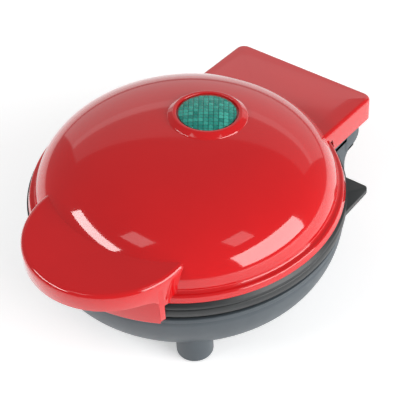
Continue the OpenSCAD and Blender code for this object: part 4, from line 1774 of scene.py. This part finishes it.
class Plates:
    """What the moulds of both plates hold."""

    def build(self, shop: Workshop) -> None:
        """Makes the relief of the lower plate, and the same turned over for the lid.

        Args:
            shop: Where they are made.
        """
        coat = ("plate_coat", "coated_plate")
        relief = FishRelief().shape()
        face = -shop.datum.mating_depth
        shop.piece("lower_fish_relief", relief.moved(z=face), Body.BASE, *coat)
        turned = Shape(relief.points * [1.0, 1.0, -1.0], [f[::-1] for f in relief.faces])
        shop.piece("upper_fish_relief", turned.moved(z=face), Body.LID, *coat)


# Inner parts that keep the model's own meshes


INNER_FINISHES = {
    "lens_retainer": "black_satin", "lamp_holder": "ivory_plastic",
    "indicator_lamps": "lamp_glass", "lid_screws": "zinc_steel", "upper_plate": "plate_coat",
    "upper_plate_screws": "zinc_steel", "upper_element": "dull_sheath",
    "upper_element_pins": "zinc_steel", "upper_reflector": "bright_sheet",
    "upper_pan_screws": "zinc_steel", "lid_leads": "white_silicone",
    "thermal_fuse": "zinc_steel", "fuse_strap": "bright_sheet", "base_screws": "zinc_steel",
    "lower_plate": "plate_coat", "lower_plate_screws": "zinc_steel",
    "lower_element": "dull_sheath", "lower_element_pins": "zinc_steel",
    "lower_reflector": "bright_sheet", "lower_pan_screws": "zinc_steel",
    "thermostat": "black_satin", "hinge_pins": "zinc_steel", "terminal_block": "ivory_plastic",
    "terminal_screws": "brass_plain", "base_leads": "white_silicone",
}


# View and light


def direction(azimuth: float, elevation: float) -> Vector:
    """The direction out from the object at an angle round it and an angle over the horizon.

    Args:
        azimuth: Degrees round the object, with 0 in front of the handle.
        elevation: Degrees over the horizon.

    Returns:
        A vector of length 1.
    """
    a, e = math.radians(azimuth), math.radians(elevation)
    return Vector((math.sin(a) * math.cos(e), -math.cos(a) * math.cos(e), math.sin(e)))


@dataclass(frozen=True)
class PhotoView:
    """The photograph's camera.

    Args:
        azimuth: Its direction round the object, in degrees: 0 looks along +Y.
        elevation: Its height above the horizon, in degrees.
        roll: Its turn about its own line of sight, in degrees.
        distance: Its distance from the dome's axis at the lid's edge, in millimetres.
        focal_px: Its focal length in pixels of the photograph.
        centre_px: Where that point of the axis lies in the photograph.
        image_px: Width and height of the photograph.
        sensor: Width of the camera's sensor, in millimetres.
    """

    azimuth: float = 39.4
    elevation: float = 42.8
    roll: float = -3.86
    distance: float = 564.0
    focal_px: float = 1406.6
    centre_px: tuple[float, float] = (186.4, 186.4)
    image_px: float = 400.0
    sensor: float = 36.0

    def build(self, datum: Datum) -> None:
        """Makes the camera and sets it as the scene's.

        Args:
            datum: The place that the camera looks at.
        """
        data = bpy.data.cameras.new("photo_camera")
        data.sensor_width = self.sensor
        data.lens = data.sensor_width * self.focal_px / self.image_px
        data.shift_x = 0.5 - self.centre_px[0] / self.image_px
        data.shift_y = self.centre_px[1] / self.image_px - 0.5
        data.clip_start, data.clip_end = 0.01, 20.0
        camera = bpy.data.objects.new("photo_camera", data)
        aim = Vector((0.0, datum.axis_y, datum.rim_z)) * MM
        azimuth, roll = math.radians(self.azimuth), math.radians(self.roll)
        back = direction(self.azimuth, self.elevation)
        right = Vector((math.cos(azimuth), math.sin(azimuth), 0.0))
        up = back.cross(right)
        c, s = math.cos(roll), math.sin(roll)
        turn = Matrix((right * c + up * s, up * c - right * s, back)).transposed()
        camera.matrix_world = (Matrix.Translation(aim + back * self.distance * MM)
                               @ turn.to_4x4())
        bpy.context.scene.collection.objects.link(camera)
        bpy.context.scene.camera = camera


@dataclass(frozen=True)
class Softbox:
    """One soft lamp that faces the object.

    Args:
        name: Its name.
        azimuth: Its direction round the object, in degrees.
        elevation: Its height above the horizon, in degrees.
        distance: Its distance in metres.
        size: Its width and height in metres.
        power: Its power in watts.
        aim_z: Height of the point that it faces, in metres.
    """

    name: str
    azimuth: float
    elevation: float
    distance: float
    size: tuple[float, float]
    power: float
    aim_z: float = 0.05

    def build(self) -> None:
        """Makes the lamp."""
        data = bpy.data.lights.new(self.name, "AREA")
        data.shape = "RECTANGLE"
        data.size, data.size_y = self.size
        data.energy = self.power
        lamp = bpy.data.objects.new(self.name, data)
        out = direction(self.azimuth, self.elevation)
        lamp.location = out * self.distance + Vector((0, 0, self.aim_z))
        lamp.rotation_euler = (-out).to_track_quat("-Z", "Y").to_euler()
        bpy.context.scene.collection.objects.link(lamp)


class Studio:
    """The pale floor, the white surroundings and the lamps.

    Their strength for all but the camera is ambient. The floor's shade and its own glow go from 0
    to 1, and floor_half is half of its side in metres.
    """

    ambient: float = 0.27
    floor_shade: float = 0.93
    floor_glow: float = 0.4
    floor_half: float = 3.0
    lamps: tuple[Softbox, ...] = (
        Softbox("right_window", 97.0, 21.0, 1.0, (0.95, 0.56), 9.5),
        Softbox("left_strip", -42.0, 37.0, 1.0, (0.72, 0.18), 3.6),
        Softbox("left_panel", -20.0, 60.0, 1.0, (0.26, 0.2), 0.25),
        Softbox("right_panel", 88.0, 56.0, 1.0, (0.24, 0.24), 0.25),
        Softbox("rear_low", -150.0, 16.0, 1.4, (2.3, 0.7), 2.4),
        Softbox("rear_high", -150.0, 34.0, 1.4, (2.3, 0.4), 0.6),
    )

    def build(self) -> None:
        """Makes the floor, the world and the lamps, and sets plain colours."""
        self._floor()
        self._world()
        for lamp in self.lamps:
            lamp.build()
        bpy.context.scene.view_settings.view_transform = "Standard"

    def _floor(self) -> None:
        """A white floor under the feet."""
        material = bpy.data.materials.new("floor_paper")
        material.use_nodes = True
        shader = material.node_tree.nodes["Principled BSDF"]
        shader.inputs["Base Color"].default_value = (*[self.floor_shade] * 3, 1.0)
        shader.inputs["Roughness"].default_value = 0.9
        shader.inputs["Emission Color"].default_value = (1.0, 1.0, 1.0, 1.0)
        shader.inputs["Emission Strength"].default_value = self.floor_glow
        mesh = bpy.data.meshes.new("floor")
        edge = self.floor_half
        mesh.from_pydata([(-edge, -edge, 0), (edge, -edge, 0), (edge, edge, 0), (-edge, edge, 0)],
                         [], [(0, 1, 2, 3)])
        mesh.materials.append(material)
        floor = bpy.data.objects.new("floor", mesh)
        bpy.context.scene.collection.objects.link(floor)

    def _world(self) -> None:
        """Plain pale light from all round, seen white by the camera."""
        world = bpy.data.worlds.new("studio")
        world.use_nodes = True
        tree = world.node_tree
        shader = tree.nodes["Background"]
        shader.inputs["Color"].default_value = (1.0, 1.0, 1.0, 1.0)
        path = tree.nodes.new("ShaderNodeLightPath")
        level = tree.nodes.new("ShaderNodeMapRange")
        level.inputs["To Min"].default_value = self.ambient
        level.inputs["To Max"].default_value = 1.0
        tree.links.new(path.outputs["Is Camera Ray"], level.inputs["Value"])
        tree.links.new(level.outputs["Result"], shader.inputs["Strength"])
        bpy.context.scene.world = world


def main() -> None:
    """Builds the object on its frame, then the view."""
    logging.basicConfig(level=logging.INFO, format="%(message)s")
    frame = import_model()
    datum = Datum.from_frame()
    shop = Workshop(frame, datum)
    Lid().build(shop)
    Base().build(shop)
    Plates().build(shop)
    for node, finish in INNER_FINISHES.items():
        shop.dress(node, finish)
    PhotoView().build(datum)
    Studio().build()


if __name__ == "__main__":
    main()
